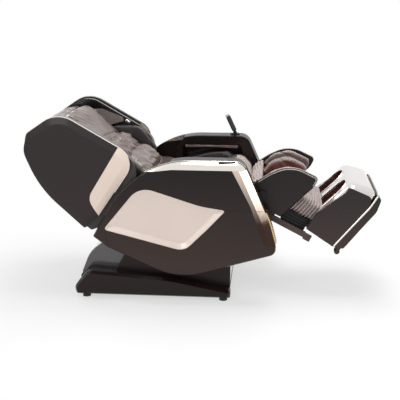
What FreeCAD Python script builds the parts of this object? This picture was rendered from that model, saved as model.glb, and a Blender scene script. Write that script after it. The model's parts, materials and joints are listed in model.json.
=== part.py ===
"""A reclining massage chair with a leg rest, a foot rest and a rolling back mechanism.

X runs from the head to the feet, Y to the occupant's left and Z up, in millimetres.
The chair is drawn laid back, with its leg rest raised and its foot rest half drawn out.
"""
import FreeCAD, Part
import math
import os
import Sketcher
from FreeCAD import Placement, Rotation, Vector

doc = FreeCAD.newDocument("massage_chair")
sheet = doc.addObject("Spreadsheet::Sheet", "Sizes")

# Driving sizes, in millimetres and degrees
SIZES = {
    # Places of the moving groups
    "stance_shift": -24.1,
    "tilt_pivot_x": -50.0,
    "tilt_pivot_z": 262.0,
    "back_pivot_x": -480.0,
    "back_pivot_z": 400.0,
    "back_lean": 60.0,
    "leg_origin_x": 305.0,
    "leg_origin_z": 575.0,
    "leg_drop": 27.5,
    "knee_along": 30.0,
    "knee_above": 20.0,
    # Clearances and common fastener sizes
    "running_gap": 0.05,
    "face_gap": 1.0,
    "moving_gap": 2.0,
    "pin_radius": 12.0,
    "small_pin_radius": 4.0,
    "steel_plate": 8.0,
    "skin_wall": 5.0,
    "tube_radius": 13.0,
    # Base
    "rubber_foot_height": 20.0,
    "rubber_foot_radius": 22.0,
    "rubber_foot_rear_x": -611.0,
    "rubber_foot_front_x": 133.0,
    "rubber_foot_side": 316.0,
    "base_half_width": 360.0,
    "base_bevel": 11.0,
    "base_bevel_depth": 18.0,
    "runner_width": 72.0,
    "frame_tube": 20.0,
    "frame_long": 720.0,
    "frame_side": 225.0,
    "cross_tube_rear_x": -598.0,
    "cross_tube_front_x": 133.0,
    "deck_sheet": 4.0,
    "rear_cover_half": 262.0,
    "rear_cover_wall": 4.0,
    "rail_width": 20.0,
    "rail_height": 12.0,
    "rail_length": 690.0,
    "rail_side": 232.0,
    "rail_rear_x": -560.0,
    "power_box_length": 50.0,
    "power_box_width": 120.0,
    "power_box_height": 62.0,
    "power_box_rear_x": -664.0,
    "power_box_low": 36.0,
    "inlet_depth": 18.0,
    "inlet_width": 24.0,
    "inlet_height": 18.0,
    "inlet_side": 26.0,
    "switch_depth": 12.0,
    "switch_width": 14.0,
    "switch_height": 22.0,
    "switch_side": -28.0,
    "switch_proud": 3.0,
    "wheel_radius": 25.0,
    "wheel_width": 22.0,
    "wheel_edge": 4.0,
    "wheel_axle_radius": 5.0,
    "wheel_side": 196.0,
    "wheel_x": -642.0,
    "wheel_z": 68.0,
    "fork_sheet": 4.0,
    "fork_reach": 44.0,
    "fork_above": 10.0,
    # Carriage
    "skirt_half_width": 285.0,
    "skirt_wall": 18.0,
    "skirt_bevel": 4.0,
    "front_cover_wall": 8.0,
    "front_cover_x": 158.0,
    "front_cover_low": 68.0,
    "carriage_plate_side": 254.0,
    "carriage_tube_length": 534.0,
    "shoe_length": 110.0,
    "shoe_width": 26.0,
    "shoe_height": 14.0,
    "shoe_side": 238.0,
    "shoe_rear_x": -190.0,
    "shoe_front_x": 70.0,
    # Seat and arms
    "seat_plate_side": 242.0,
    "seat_tube_length": 476.0,
    "arm_bracket_width": 54.0,
    "arm_bracket_length": 60.0,
    "arm_bracket_height": 40.0,
    "arm_bracket_rear_x": -150.0,
    "arm_bracket_front_x": 160.0,
    "arm_bracket_rear_z": 360.0,
    "arm_bracket_front_z": 440.0,
    "knee_lug_side": 272.0,
    "knee_lug_wall": 8.0,
    "arm_inner": 300.0,
    "arm_outer": 430.0,
    "arm_skin_depth": 28.0,
    "arm_edge_depth": 10.0,
    "arm_edge_inset": 6.0,
    "liner_wall": 10.0,
    "trim_proud": 1.5,
    "trim_depth": 40.0,
    "rail_bevel_inset": 13.0,
    "rail_bevel_depth": 34.0,
    "strip_bevel_inset": 34.0,
    "strip_bevel_depth": 28.0,
    "arm_insert_depth": 13.0,
    "arm_insert_sunk": 2.0,
    "arm_insert_ledge": 30.0,
    "arm_insert_dish": 9.0,
    "vent_outer": 385.0,
    "vent_width": 60.0,
    "vent_slot": 8.0,
    "vent_pitch": 17.0,
    "vent_border": 7.0,
    "trough_wall": 4.0,
    "trough_outer": 390.0,
    "seat_half_width": 284.0,
    "seat_crown": 3.0,
    "seat_draw": 20.0,
    "seat_roll": 34.0,
    "tablet_thick": 26.0,
    "tablet_width": 66.0,
    "tablet_height": 96.0,
    "tablet_corner": 5.0,
    "tablet_clear": 12.0,
    "tablet_x": 156.0,
    "tablet_side": 366.0,
    "tablet_lean": 25.0,
    "tablet_yaw": 10.0,
    "bracket_length": 52.0,
    "bracket_width": 44.0,
    "bracket_sheet": 5.0,
    "bracket_ear": 4.0,
    "bracket_ear_height": 15.0,
    "bracket_ear_length": 16.0,
    "key_length": 38.0,
    "key_width": 9.0,
    "key_height": 6.0,
    "key_gap": 0.5,
    "key_travel": 1.5,
    "key_tray_length": 88.0,
    "key_tray_width": 15.0,
    "key_tray_height": 12.0,
    "key_tray_x": 152.0,
    "key_tray_side": 411.0,
    "key_tray_top": 777.0,
    "key_tray_turn": 6.0,
    # Back
    "shell_outer": 398.0,
    "shell_depth": 32.0,
    "shell_bevel_depth": 10.0,
    "shell_bevel_inset": 34.0,
    "shell_wall": 5.0,
    "back_trim_width": 3.0,
    "back_trim_depth": 8.0,
    "cheek_outer": 364.0,
    "cheek_depth": 46.0,
    "wing_inset": 6.0,
    "grille_depth": 5.0,
    "shoulder_pad_depth": 24.0,
    "rear_skin_inset": 8.0,
    "rear_skin_wall": 5.0,
    "back_tube_length": 496.0,
    "back_tube_low_x": 66.0,
    "back_tube_low_z": 70.0,
    "back_tube_high_x": 176.0,
    "back_tube_high_z": 528.0,
    "back_cushion_half": 289.0,
    "back_cushion_roll": 30.0,
    "back_cushion_draw": 14.0,
    "channel_depth": 6.0,
    "pillow_half": 206.0,
    "pillow_draw": 7.0,
    "pillow_roll": 24.0,
    "track_x": 140.0,
    "track_side": 120.0,
    "track_bar": 20.0,
    "track_length": 370.0,
    "track_low": 140.0,
    "track_cross_length": 488.0,
    "roller_block_depth": 24.0,
    "roller_block_width": 270.0,
    "roller_block_height": 80.0,
    "roller_block_z": 230.0,
    "kneader_side": 62.0,
    "kneader_plate": 7.0,
    "kneader_half_width": 15.0,
    "kneader_reach": 52.0,
    "kneader_ball": 17.0,
    "kneader_stem_radius": 10.0,
    # Leg rest
    "calf_outer": 262.0,
    "calf_depth": 22.0,
    "calf_bevel": 5.0,
    "calf_inner": 236.0,
    "floor_pad_half": 213.0,
    "centre_pad_half": 30.0,
    "side_pad_depth": 38.0,
    "pad_draw": 9.0,
    "tray_sheet": 4.0,
    "slide_bar_length": 262.0,
    "slide_bar_height": 30.0,
    "slide_bar_width": 20.0,
    "slide_bar_start": 66.0,
    "slide_bar_low": -94.0,
    "slide_bar_side": 238.0,
    "end_stop_length": 38.0,
    "end_stop_height": 34.0,
    "end_stop_start": 328.0,
    "end_stop_low": -102.0,
    "leg_cross_length": 440.0,
    "leg_cross_along": 60.0,
    "leg_cross_above": -20.0,
    "gusset_half": 230.0,
    "knee_flap_inner": 63.0,
    "knee_flap_outer": 73.0,
    "knee_flap_start": 132.0,
    "knee_flap_sweep": 80.0,
    # Foot rest
    "foot_outer": 262.0,
    "foot_panel_depth": 26.0,
    "foot_shoulder": 28.0,
    "foot_roll": 60.0,
    "foot_gap": 0.5,
    "foot_wall": 6.0,
    "foot_side_wall": 4.0,
    "foot_trim_width": 4.0,
    "foot_trim_proud": 1.2,
    "well_side": 122.0,
    "well_half_width": 80.0,
    "well_low": 28.0,
    "well_high": 264.0,
    "well_wall": 4.0,
    "sole_roller_radius": 13.0,
    "sole_roller_length": 116.0,
    "sole_roller_along": 490.0,
    "sole_roller_above": 128.0,
    "sole_axle_length": 460.0,
    "heel_roller_radius": 15.0,
    "heel_roller_length": 34.0,
    "heel_roller_along": 522.0,
    "heel_roller_above": -76.0,
    "heel_roller_side": 232.0,
    "heel_ear": 4.0,
    "carrier_length": 138.0,
    "carrier_width": 44.0,
    "carrier_height": 34.0,
    "carrier_start": 192.0,
    "carrier_low": -43.0,
    "carrier_side": 190.0,
}

# Outlines: each corner has a name, two coordinates and the radius of its bend
# Sizes that follow from others, so that plates stay at the ends of the tubes between them.
DERIVED = {
    "back_plate_side": "=back_tube_length / 2 + steel_plate / 2",
    "leg_plate_side": "=leg_cross_length / 2 + steel_plate / 4",
}

OUTLINES = {
    "runner": [
        ("tail_low", -660, 20, 14), ("tail", -672, 62, 40), ("hump", -596, 154, 55),
        ("brow", -150, 122, 900), ("nose", 171, 60, 14), ("nose_low", 171, 20, 8),
    ],
    "deck": [
        ("tail", -652, 56, 2), ("hump", -604, 142, 30), ("nose", 167, 50, 2),
    ],
    "rear_cover": [
        ("lip", -646, 112, 6), ("bulge", -598, 234, 170), ("crest", -520, 296, 70),
        ("front", -402, 296, 10), ("foot", -402, 118, 4),
    ],
    "skirt": [
        ("rear_low", -462, 134, 4), ("rear_top", -388, 258, 12), ("front_top", 168, 205, 12),
        ("front_low", 168, 60, 4),
    ],
    "carriage_plate": [
        ("tail", -236, 108, 0), ("rise", -205, 190, 0), ("crest_rear", -82, 288, 0),
        ("crest_front", -18, 288, 0), ("slope", 100, 150, 0), ("nose", 148, 66, 0),
    ],
    "seat_plate": [
        ("rear_low", -512, 366, 0), ("hip_low", -400, 296, 0), ("keel_rear", -80, 238, 0),
        ("keel_front", -20, 238, 0), ("front_low", 235, 440, 0), ("front_top", 228, 494, 0),
        ("middle", -60, 410, 0), ("hip_top", -340, 345, 0), ("lug_top", -430, 428, 0),
        ("rear_top", -506, 432, 0),
    ],
    "knee_lug": [
        ("root_low", 180, 415, 12), ("root_top", 190, 470, 12), ("tip_top", 330, 604, 22),
        ("tip", 368, 580, 24), ("tip_low", 348, 550, 24),
    ],
    "arm": [
        ("heel", -545, 371, 8), ("rear_rise", -428, 581, 500), ("shoulder", -224, 778, 460),
        ("brow", 232, 778, 66), ("front", 372, 460, 400), ("chin", 417, 300, 40),
        ("keel", -96, 148, 360), ("hip", -467, 314, 20),
    ],
    "arm_core": [
        ("low_rear", -188, 100, 0), ("rear", -188, 690, 0), ("top_rear", -120, 800, 0),
        ("top_front", 470, 800, 0), ("low_front", 470, 100, 0),
    ],
    "arm_insert": [
        ("rear", -488, 411, 12), ("shoulder", -296, 647, 110), ("brow", 20, 547, 500),
        ("tip", 150, 528, 9), ("slope", 55, 425, 400), ("keel", -66, 304, 80),
    ],
    "rail_part": [
        ("rear_top", -340, 830, 0), ("rear_low", -325, 700, 0), ("curve", -250, 722, 0),
        ("start", -129, 737, 0), ("front_low", 300, 737, 0), ("front_top", 300, 830, 0),
    ],
    "strip_part": [
        ("top_inner", 179, 737, 0), ("bend", 274, 553, 0), ("low_inner", 346, 352, 0),
        ("low_outer", 450, 330, 0), ("top_outer", 450, 737, 0),
    ],
    "vent_part": [
        ("top_inner", 300, 512, 0), ("low_inner", 340, 350, 0), ("low_outer", 460, 350, 0),
        ("top_outer", 460, 512, 0),
    ],
    "trough": [
        ("rear_low", -148, 560, 24), ("rear_top", -148, 728, 24), ("front_top", 196, 728, 24),
        ("front_mid", 214, 640, 40), ("front_low", 196, 560, 24),
    ],
    "upper_pad": [
        ("rear_low", -136, 705, 8), ("rear_top", -136, 724, 8), ("front_top", 178, 724, 8),
        ("front_low", 178, 702, 9), ("middle", 10, 709, 150),
    ],
    "lower_pad": [
        ("rear_low", -143, 564, 22), ("rear_top", -143, 642, 34), ("swell", 20, 682, 150),
        ("crest", 120, 690, 44), ("front", 192, 628, 40), ("front_low", 188, 564, 22),
    ],
    "seat": [
        ("rear_low", -335, 360, 24), ("rear_top", -335, 436, 36), ("crest", 192, 690, 72),
        ("nose", 266, 618, 48), ("nose_low", 250, 526, 26),
    ],
    "back_shell": [
        ("tail", -54, 100, 12), ("rear", 15, 408, 550), ("rear_head", 141, 572, 100),
        ("head", 235, 600, 38), ("brow", 415, 513, 140), ("toe", 416, 44, 95),
        ("notch", 45, 70, 60),
    ],
    "insert_part": [
        ("low_rear", 20, 28, 4), ("top_rear", 100, 163, 70), ("top_front", 450, 155, 4),
        ("low_front", 450, 0, 4),
    ],
    "trim_part": [
        ("low_rear", 200, 0, 0), ("top_rear", 200, 640, 0), ("top_front", 460, 640, 0),
        ("low_front", 460, 0, 0),
    ],
    "cheek": [
        ("rear_low", -52, 66, 12), ("rear_top", -40, 150, 12), ("front_top", 393, 150, 6),
        ("front_low", 394, 10, 104), ("low", 250, -6, 60), ("heel", 24, 6, 40),
    ],
    "wing_part": [
        ("low_rear", 205, 152, 0), ("top_rear", 205, 640, 0), ("top_front", 460, 640, 0),
        ("low_front", 460, 152, 0),
    ],
    "grille": [
        ("head", 344, 454, 12), ("brow", 382, 392, 40), ("front", 402, 264, 9),
        ("low", 388, 243, 9), ("rear", 306, 320, 10),
    ],
    "shoulder_pad": [
        ("rear_top", 252, 284, 26), ("top", 330, 288, 46), ("front", 412, 150, 78),
        ("low", 350, -14, 42), ("rear_low", 252, -10, 26),
    ],
    "rear_skin_part": [
        ("low_rear", -120, 62, 0), ("low_front", 30, 62, 0), ("middle", 120, 420, 0),
        ("head_low", 224, 540, 0), ("top_front", 224, 680, 0),
        ("top_rear", -120, 680, 0),
    ],
    "back_plate": [
        ("lug_rear", -26, -22, 0), ("lug_front", 26, -26, 0), ("hip", 156, 100, 0),
        ("neck", 212, 520, 0), ("head", 152, 545, 0), ("waist", 14, 150, 0),
    ],
    "back_cushion": [
        ("rear_low", 222, -98, 26), ("front_low", 330, -104, 48), ("lumbar", 302, 90, 400),
        ("nape", 300, 494, 10), ("head_front", 342, 506, 18), ("head_top", 284, 573, 40),
        ("rear_top", 231, 588, 14),
    ],
    "pillow": [
        ("rear_low", 303, 194, 9), ("rear_top", 303, 486, 16), ("top", 376, 489, 34),
        ("front", 385, 440, 60), ("slope", 356, 300, 300), ("low", 332, 200, 24),
    ],
    "calf": [
        ("rear", -47, 36, 14), ("knee", 2, 124, 180), ("brow", 76, 222, 170),
        ("crest", 238, 228, 20), ("shin", 240, 170, 60), ("front_low", 164, -50, 9),
        ("low", 76, -52, 20), ("heel", 8, 4, 30),
    ],
    "calf_tray": [
        ("rear", -30, 22, 0), ("bend_rear", 8, 0, 0), ("bend", 76, -54, 0), ("front", 162, -54, 0),
    ],
    "leg_plate": [
        ("top_rear", 6, 40, 14), ("top_front", 56, 36, 14), ("low_front", 150, -58, 8),
        ("low_rear", 66, -58, 8), ("rear", 8, 0, 14),
    ],
    "floor_pad": [
        ("rear_low", -22, 29, 8), ("rear_top", -18, 56, 12), ("front_top", 206, 58, 22),
        ("front_low", 188, 6, 14),
    ],
    "centre_pad": [
        ("rear_low", -10, 64, 9), ("rear", 6, 140, 90), ("brow", 72, 208, 100),
        ("crest", 196, 210, 34), ("front_low", 196, 64, 20),
    ],
    "side_pad": [
        ("rear_low", -10, 64, 9), ("rear", 14, 140, 90), ("brow", 84, 206, 100),
        ("crest", 218, 214, 30), ("front", 222, 160, 40), ("front_low", 196, 64, 18),
    ],
    "foot_panel": [
        ("rear_low", 315, -41, 6), ("rear", 324, 52, 26), ("mouth", 397, 222, 60),
        ("mouth_top", 402, 262, 16), ("toe_top", 532, 272, 26), ("toe", 547, 215, 80),
        ("ball", 520, 95, 200), ("heel", 487, -60, 6),
    ],
    "foot_unit": [
        ("rear_low", 315, -41, 8), ("rear", 324, 52, 34), ("mouth_top", 402, 284, 48),
        ("toe_top", 515, 309, 80), ("toe_brow", 553, 286, 32), ("toe", 547, 215, 80),
        ("ball", 520, 95, 200), ("heel", 487, -60, 8),
    ],
    "sole": [
        ("heel", 490, -61, 6), ("heel_outer", 541, -43, 16), ("arch", 567, 95, 300),
        ("ball", 592, 215, 70), ("toe_outer", 580, 286, 34), ("toe", 557, 294, 10),
        ("toe_inner", 551, 215, 80), ("ball_inner", 524, 95, 200),
    ],
    "foot_gusset": [
        ("rear_low", 225, -2, 8), ("rear_top", 238, 100, 14), ("front_top", 360, 100, 6),
        ("front_low", 330, -2, 6),
    ],
}

SIDE, FRONT, PLAN = "side", "front", "plan"
FAR = 1000.0


def fill_sheet():
    """Write every driving size into the sheet, one row and one alias each."""
    rows = dict(SIZES)
    rows.update(DERIVED)
    for outline, points in OUTLINES.items():
        for corner, across, up, bend in points:
            rows[f"{outline}_{corner}_x"] = across
            rows[f"{outline}_{corner}_z"] = up
            rows[f"{outline}_{corner}_bend"] = bend
    for row, (alias, amount) in enumerate(rows.items(), start=1):
        sheet.set(f"A{row}", alias)
        sheet.set(f"B{row}", str(amount))
        sheet.setAlias(f"B{row}", alias)
    doc.recompute()


def size(alias):
    """The value of one cell of the sheet."""
    return float(sheet.get(alias))


def corners(outline):
    """The corners of a named outline, read from the sheet."""
    return [
        tuple(size(f"{outline}_{corner}_{part}") for part in ("x", "z", "bend"))
        for corner, _, _, _ in OUTLINES[outline]
    ]


def at(plane, across, up, level):
    """A point of an outline, in the plane that the outline is drawn in."""
    if plane == SIDE:
        return Vector(across, level, up)
    if plane == FRONT:
        return Vector(level, across, up)
    return Vector(across, up, level)


def turns_left(points):
    """Whether an outline runs anticlockwise."""
    doubled_area = 0.0
    for index, (x, z, _) in enumerate(points):
        next_x, next_z, _ = points[(index + 1) % len(points)]
        doubled_area += x * next_z - next_x * z
    return doubled_area > 0


def grown(points, margin):
    """The same outline with every side moved outwards by margin."""
    outward = 1.0 if turns_left(points) else -1.0
    count = len(points)
    sides = []
    for index in range(count):
        x, z, _ = points[index]
        next_x, next_z, _ = points[(index + 1) % count]
        length = math.hypot(next_x - x, next_z - z)
        along = ((next_x - x) / length, (next_z - z) / length)
        off = (outward * margin * along[1], -outward * margin * along[0])
        sides.append(((x + off[0], z + off[1]), along))
    moved = []
    for index in range(count):
        (px, pz), (ax, az) = sides[index - 1]
        (qx, qz), (bx, bz) = sides[index]
        turn = ax * bz - az * bx
        reach = ((qx - px) * bz - (qz - pz) * bx) / turn
        convex = turn * outward > 0
        bend = points[index][2]
        if bend > 0:
            bend = max(bend + (margin if convex else -margin), 0.5)
        moved.append((px + ax * reach, pz + az * reach, bend))
    return moved


def corner_arcs(points):
    """For each corner, where its bend starts, passes through and ends."""
    count = len(points)
    spans, reaches = [], []
    for index in range(count):
        x, z, bend = points[index]
        back = Vector(points[index - 1][0] - x, points[index - 1][1] - z, 0)
        ahead = Vector(points[(index + 1) % count][0] - x, points[(index + 1) % count][1] - z, 0)
        spans.append(ahead.Length)
        reaches.append(bend / math.tan(back.getAngle(ahead) / 2))
    room = [min(1.0, 0.98 * spans[i] / max(reaches[i] + reaches[(i + 1) % count], 1e-9))
            for i in range(count)]
    arcs = []
    for index in range(count):
        x, z, _ = points[index]
        corner = Vector(x, z, 0)
        back = (Vector(points[index - 1][0], points[index - 1][1], 0) - corner).normalize()
        following = points[(index + 1) % count]
        ahead = (Vector(following[0], following[1], 0) - corner).normalize()
        half = back.getAngle(ahead) / 2
        reach = reaches[index] * min(room[index], room[index - 1])
        bend = reach * math.tan(half)
        middle = corner + (back + ahead).normalize() * (bend / math.sin(half) - bend)
        arcs.append((corner + back * reach, middle, corner + ahead * reach))
    return arcs


def wire(points, level, plane=SIDE):
    """A closed wire through the outline, with an arc at each bent corner."""
    if not any(bend > 0 for _, _, bend in points):
        loop = [at(plane, x, z, level) for x, z, _ in points]
        return Part.makePolygon(loop + loop[:1])
    arcs = corner_arcs(points)
    edges = []
    for index, (start, middle, end) in enumerate(arcs):
        last = arcs[index - 1][2]
        places = [at(plane, p.x, p.y, level) for p in (last, start, middle, end)]
        edges.append(Part.LineSegment(places[0], places[1]).toShape())
        edges.append(Part.Arc(places[1], places[2], places[3]).toShape())
    return Part.Wire(edges)


def slab(points, low, high, plane=SIDE):
    """A plate with the outline, from one level to another."""
    along = at(plane, 0, 0, high) - at(plane, 0, 0, low)
    return Part.Face(wire(points, low, plane)).extrude(along)


def bevelled(points, inset, inner, edge, face):
    """A plate whose outer border slopes in by inset between two levels."""
    rings = [wire(points, inner), wire(points, edge), wire(grown(points, -inset), face)]
    return Part.makeLoft(rings, True, True)


def cushion(points, stations, plane=SIDE):
    """A soft block lofted through the outline, grown or drawn in at each station."""
    rings = [wire(grown(points, growth), level, plane) for level, growth in stations]
    return Part.makeLoft(rings, True, True)


def soft_levels(low, high, draw, roll, crown=0.0):
    """Levels across a soft block: its ends draw in on a quarter ellipse, its middle swells."""
    ends = []
    for share in (0, 0.25, 0.5, 0.75, 1):
        angle = math.radians(90 * share)
        ends.append((roll * (1 - math.cos(angle)), -draw * (1 - math.sin(angle))))
    span = high - low
    inner = span - 2 * roll
    middle = [(low + roll + inner * share, crown * math.sin(math.pi * share))
              for share in (0.25, 0.5, 0.75)]
    return ([(low + along, growth) for along, growth in ends] + middle
            + [(high - along, growth) for along, growth in reversed(ends)])


def block(low, high):
    """A plain block between two opposite corners."""
    span = Vector(*high) - Vector(*low)
    return Part.makeBox(span.x, span.y, span.z, Vector(*low))


def other_side(shape):
    """The same shape on the occupant's left."""
    return shape.mirror(Vector(0, 0, 0), Vector(0, 1, 0))


def both_sides(*shapes):
    """Right hand shapes with their left hand copies, as separate solids."""
    solids = []
    for shape in shapes:
        solids += list(shape.Solids) + list(other_side(shape).Solids)
    return Part.makeCompound(solids)


def piece(label, shape, frame):
    """One sub-part whose shape is made by functions."""
    feature = doc.addObject("Part::Feature", label)
    feature.Label = label
    feature.Shape = shape
    feature.Placement = frame
    return feature


def sized(kind, label, bindings, place):
    """A primitive whose sizes are bound to cells of the sheet."""
    primitive = doc.addObject(kind, label)
    primitive.Label = label
    for prop, formula in bindings.items():
        primitive.setExpression(prop, formula)
    primitive.Placement = place
    return primitive


def box(label, middle, lengths, frame, turn=None):
    """A box about its middle, with its three lengths bound to cells."""
    half = [size(length) / 2 for length in lengths]
    bindings = dict(zip(("Length", "Width", "Height"), (f"Sizes.{name}" for name in lengths)))
    inner = Placement(Vector(0, 0, 0), turn or Rotation())
    inner = inner.multiply(Placement(-Vector(*half), Rotation()))
    place = frame.multiply(Placement(Vector(*middle), Rotation())).multiply(inner)
    return sized("Part::Box", label, bindings, place)


def rod(label, middle, length, radius, frame, allowance=""):
    """A round bar across the chair, about its middle."""
    bindings = {"Height": f"Sizes.{length}", "Radius": f"Sizes.{radius}{allowance}"}
    across = Rotation(Vector(1, 0, 0), -90)
    start = Vector(middle[0], middle[1] - size(length) / 2, middle[2])
    return sized("Part::Cylinder", label, bindings, frame.multiply(Placement(start, across)))


def combined(kind, label, sources):
    """Several objects joined into one: fused, or kept as separate solids."""
    result = doc.addObject(kind, label)
    result.Label = label
    if kind == "Part::Compound":
        result.Links = sources
    else:
        result.Shapes = sources
    return result


def less(label, base, tool):
    """One object with another cut away."""
    result = doc.addObject("Part::Cut", label)
    result.Label = label
    result.Base = base
    result.Tool = tool
    return result


def mirror_of(label, source):
    """The left hand copy of a right hand object."""
    result = doc.addObject("Part::Mirroring", label)
    result.Label = label
    result.Source = source
    result.Normal = (0, 1, 0)
    result.Base = (0, 0, 0)
    return result


def own_plane(body, role):
    """One of a body's own origin planes."""
    return [feature for feature in body.Origin.OriginFeatures if feature.Role == role][0]


def bound(sketch, constraint, name, formula):
    """Add a named constraint and bind it to a formula."""
    index = sketch.addConstraint(constraint)
    sketch.renameConstraint(index, name)
    sketch.setExpression(f"Constraints.{name}", formula)


def sketch_polygon(sketch, outline):
    """Draw an outline with every corner bound to its cells."""
    points = corners(outline)
    first = sketch.GeometryCount
    for index, (x, z, _) in enumerate(points):
        next_x, next_z, _ = points[(index + 1) % len(points)]
        sketch.addGeometry(Part.LineSegment(Vector(x, z, 0), Vector(next_x, next_z, 0)), False)
    for index, (corner, x, z, _) in enumerate(OUTLINES[outline]):
        line = first + index
        following = first + (index + 1) % len(points)
        sketch.addConstraint(Sketcher.Constraint("Coincident", line, 2, following, 1))
        alias = f"Sizes.{outline}_{corner}"
        bound(sketch, Sketcher.Constraint("DistanceX", -1, 1, line, 1, size(alias[6:] + "_x")),
              f"{corner}_x", f"{alias}_x")
        bound(sketch, Sketcher.Constraint("DistanceY", -1, 1, line, 1, size(alias[6:] + "_z")),
              f"{corner}_z", f"{alias}_z")


def sketch_circle(sketch, name, centre, radius, radius_formula, centre_formulas=None):
    """Draw a circle with its radius, and where asked its centre, bound to cells."""
    line = sketch.addGeometry(Part.Circle(Vector(centre[0], centre[1], 0), Vector(0, 0, 1), radius))
    bound(sketch, Sketcher.Constraint("Radius", line, radius), f"{name}_radius", radius_formula)
    if centre_formulas is None:
        sketch.addConstraint(Sketcher.Constraint("Coincident", line, 3, -1, 1))
        return
    bound(sketch, Sketcher.Constraint("DistanceX", -1, 1, line, 3, centre[0]),
          f"{name}_x", centre_formulas[0])
    bound(sketch, Sketcher.Constraint("DistanceY", -1, 1, line, 3, centre[1]),
          f"{name}_z", centre_formulas[1])


def new_body(label):
    """An empty body with one sketch on its own upright plane."""
    body = doc.addObject("PartDesign::Body", label)
    body.Label = label
    sketch = body.newObject("Sketcher::SketchObject", f"{label}_outline")
    sketch.AttachmentSupport = [(own_plane(body, "XZ_Plane"), "")]
    sketch.MapMode = "FlatFace"
    return body, sketch


def padded_body(body, sketch, width_formula):
    """Give a body its thickness, the same on both sides of its sketch."""
    pad = body.newObject("PartDesign::Pad", f"{body.Label}_pad")
    pad.Profile = sketch
    pad.setExpression("Length", width_formula)
    pad.Midplane = True
    body.Tip = pad
    doc.recompute()
    return pad


def steel_side(label, outline, side, bore, frame):
    """A flat steel side plate with one pivot bore, on the occupant's right."""
    body, sketch = new_body(label)
    sketch_polygon(sketch, outline)
    hole = size("pin_radius") + size("running_gap")
    sketch_circle(sketch, "bore", [size(bore[0]), size(bore[1])] if bore else (0, 0), hole,
                  "Sizes.pin_radius + Sizes.running_gap",
                  [f"Sizes.{bore[0]}", f"Sizes.{bore[1]}"] if bore else None)
    padded_body(body, sketch, "Sizes.steel_plate")
    body.Placement = frame.multiply(Placement(Vector(0, -side, 0), Rotation()))
    return body


def wheel(label, middle, radius, bore, width, frame):
    """A rubber wheel on an axle across the chair, with rounded edges."""
    body, sketch = new_body(label)
    sketch_circle(sketch, "tread", (0, 0), size(radius), f"Sizes.{radius}")
    sketch_circle(sketch, "bore", (0, 0), size(bore) + size("running_gap"),
                  f"Sizes.{bore} + Sizes.running_gap")
    pad = padded_body(body, sketch, f"Sizes.{width}")
    rims = [f"Edge{number}" for number, edge in enumerate(pad.Shape.Edges, start=1)
            if isinstance(edge.Curve, Part.Circle) and abs(edge.Curve.Radius - size(radius)) < 1e-6]
    rounding = body.newObject("PartDesign::Fillet", f"{label}_rounding")
    rounding.Base = (pad, rims)
    rounding.setExpression("Radius", "Sizes.wheel_edge")
    body.Tip = rounding
    body.Placement = frame.multiply(Placement(Vector(*middle), Rotation()))
    return body


fill_sheet()

# The frames that the groups are drawn in
forward = size("stance_shift")
chair = Placement(Vector(forward, 0, 0), Rotation())
upright_axis = Vector(0, 1, 0)
back = Placement(Vector(size("back_pivot_x") + forward, 0, size("back_pivot_z")),
                 Rotation(upright_axis, -size("back_lean")))
leg = Placement(Vector(size("leg_origin_x") + forward, 0, size("leg_origin_z")),
                Rotation(upright_axis, size("leg_drop")))
face_gap = size("face_gap")
moving_gap = size("moving_gap")
nodes = []


def deck_slope():
    """The slope of the base, in degrees below level towards the feet."""
    run = size("deck_nose_x") - size("deck_hump_x")
    return math.degrees(math.atan2(size("deck_hump_z") - size("deck_nose_z"), run))


def on_deck(along, above=0.0):
    """A point above the deck at one place along the chair."""
    slope = math.tan(math.radians(deck_slope()))
    return (along, size("deck_nose_z") + slope * (size("deck_nose_x") - along) + above)


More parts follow.
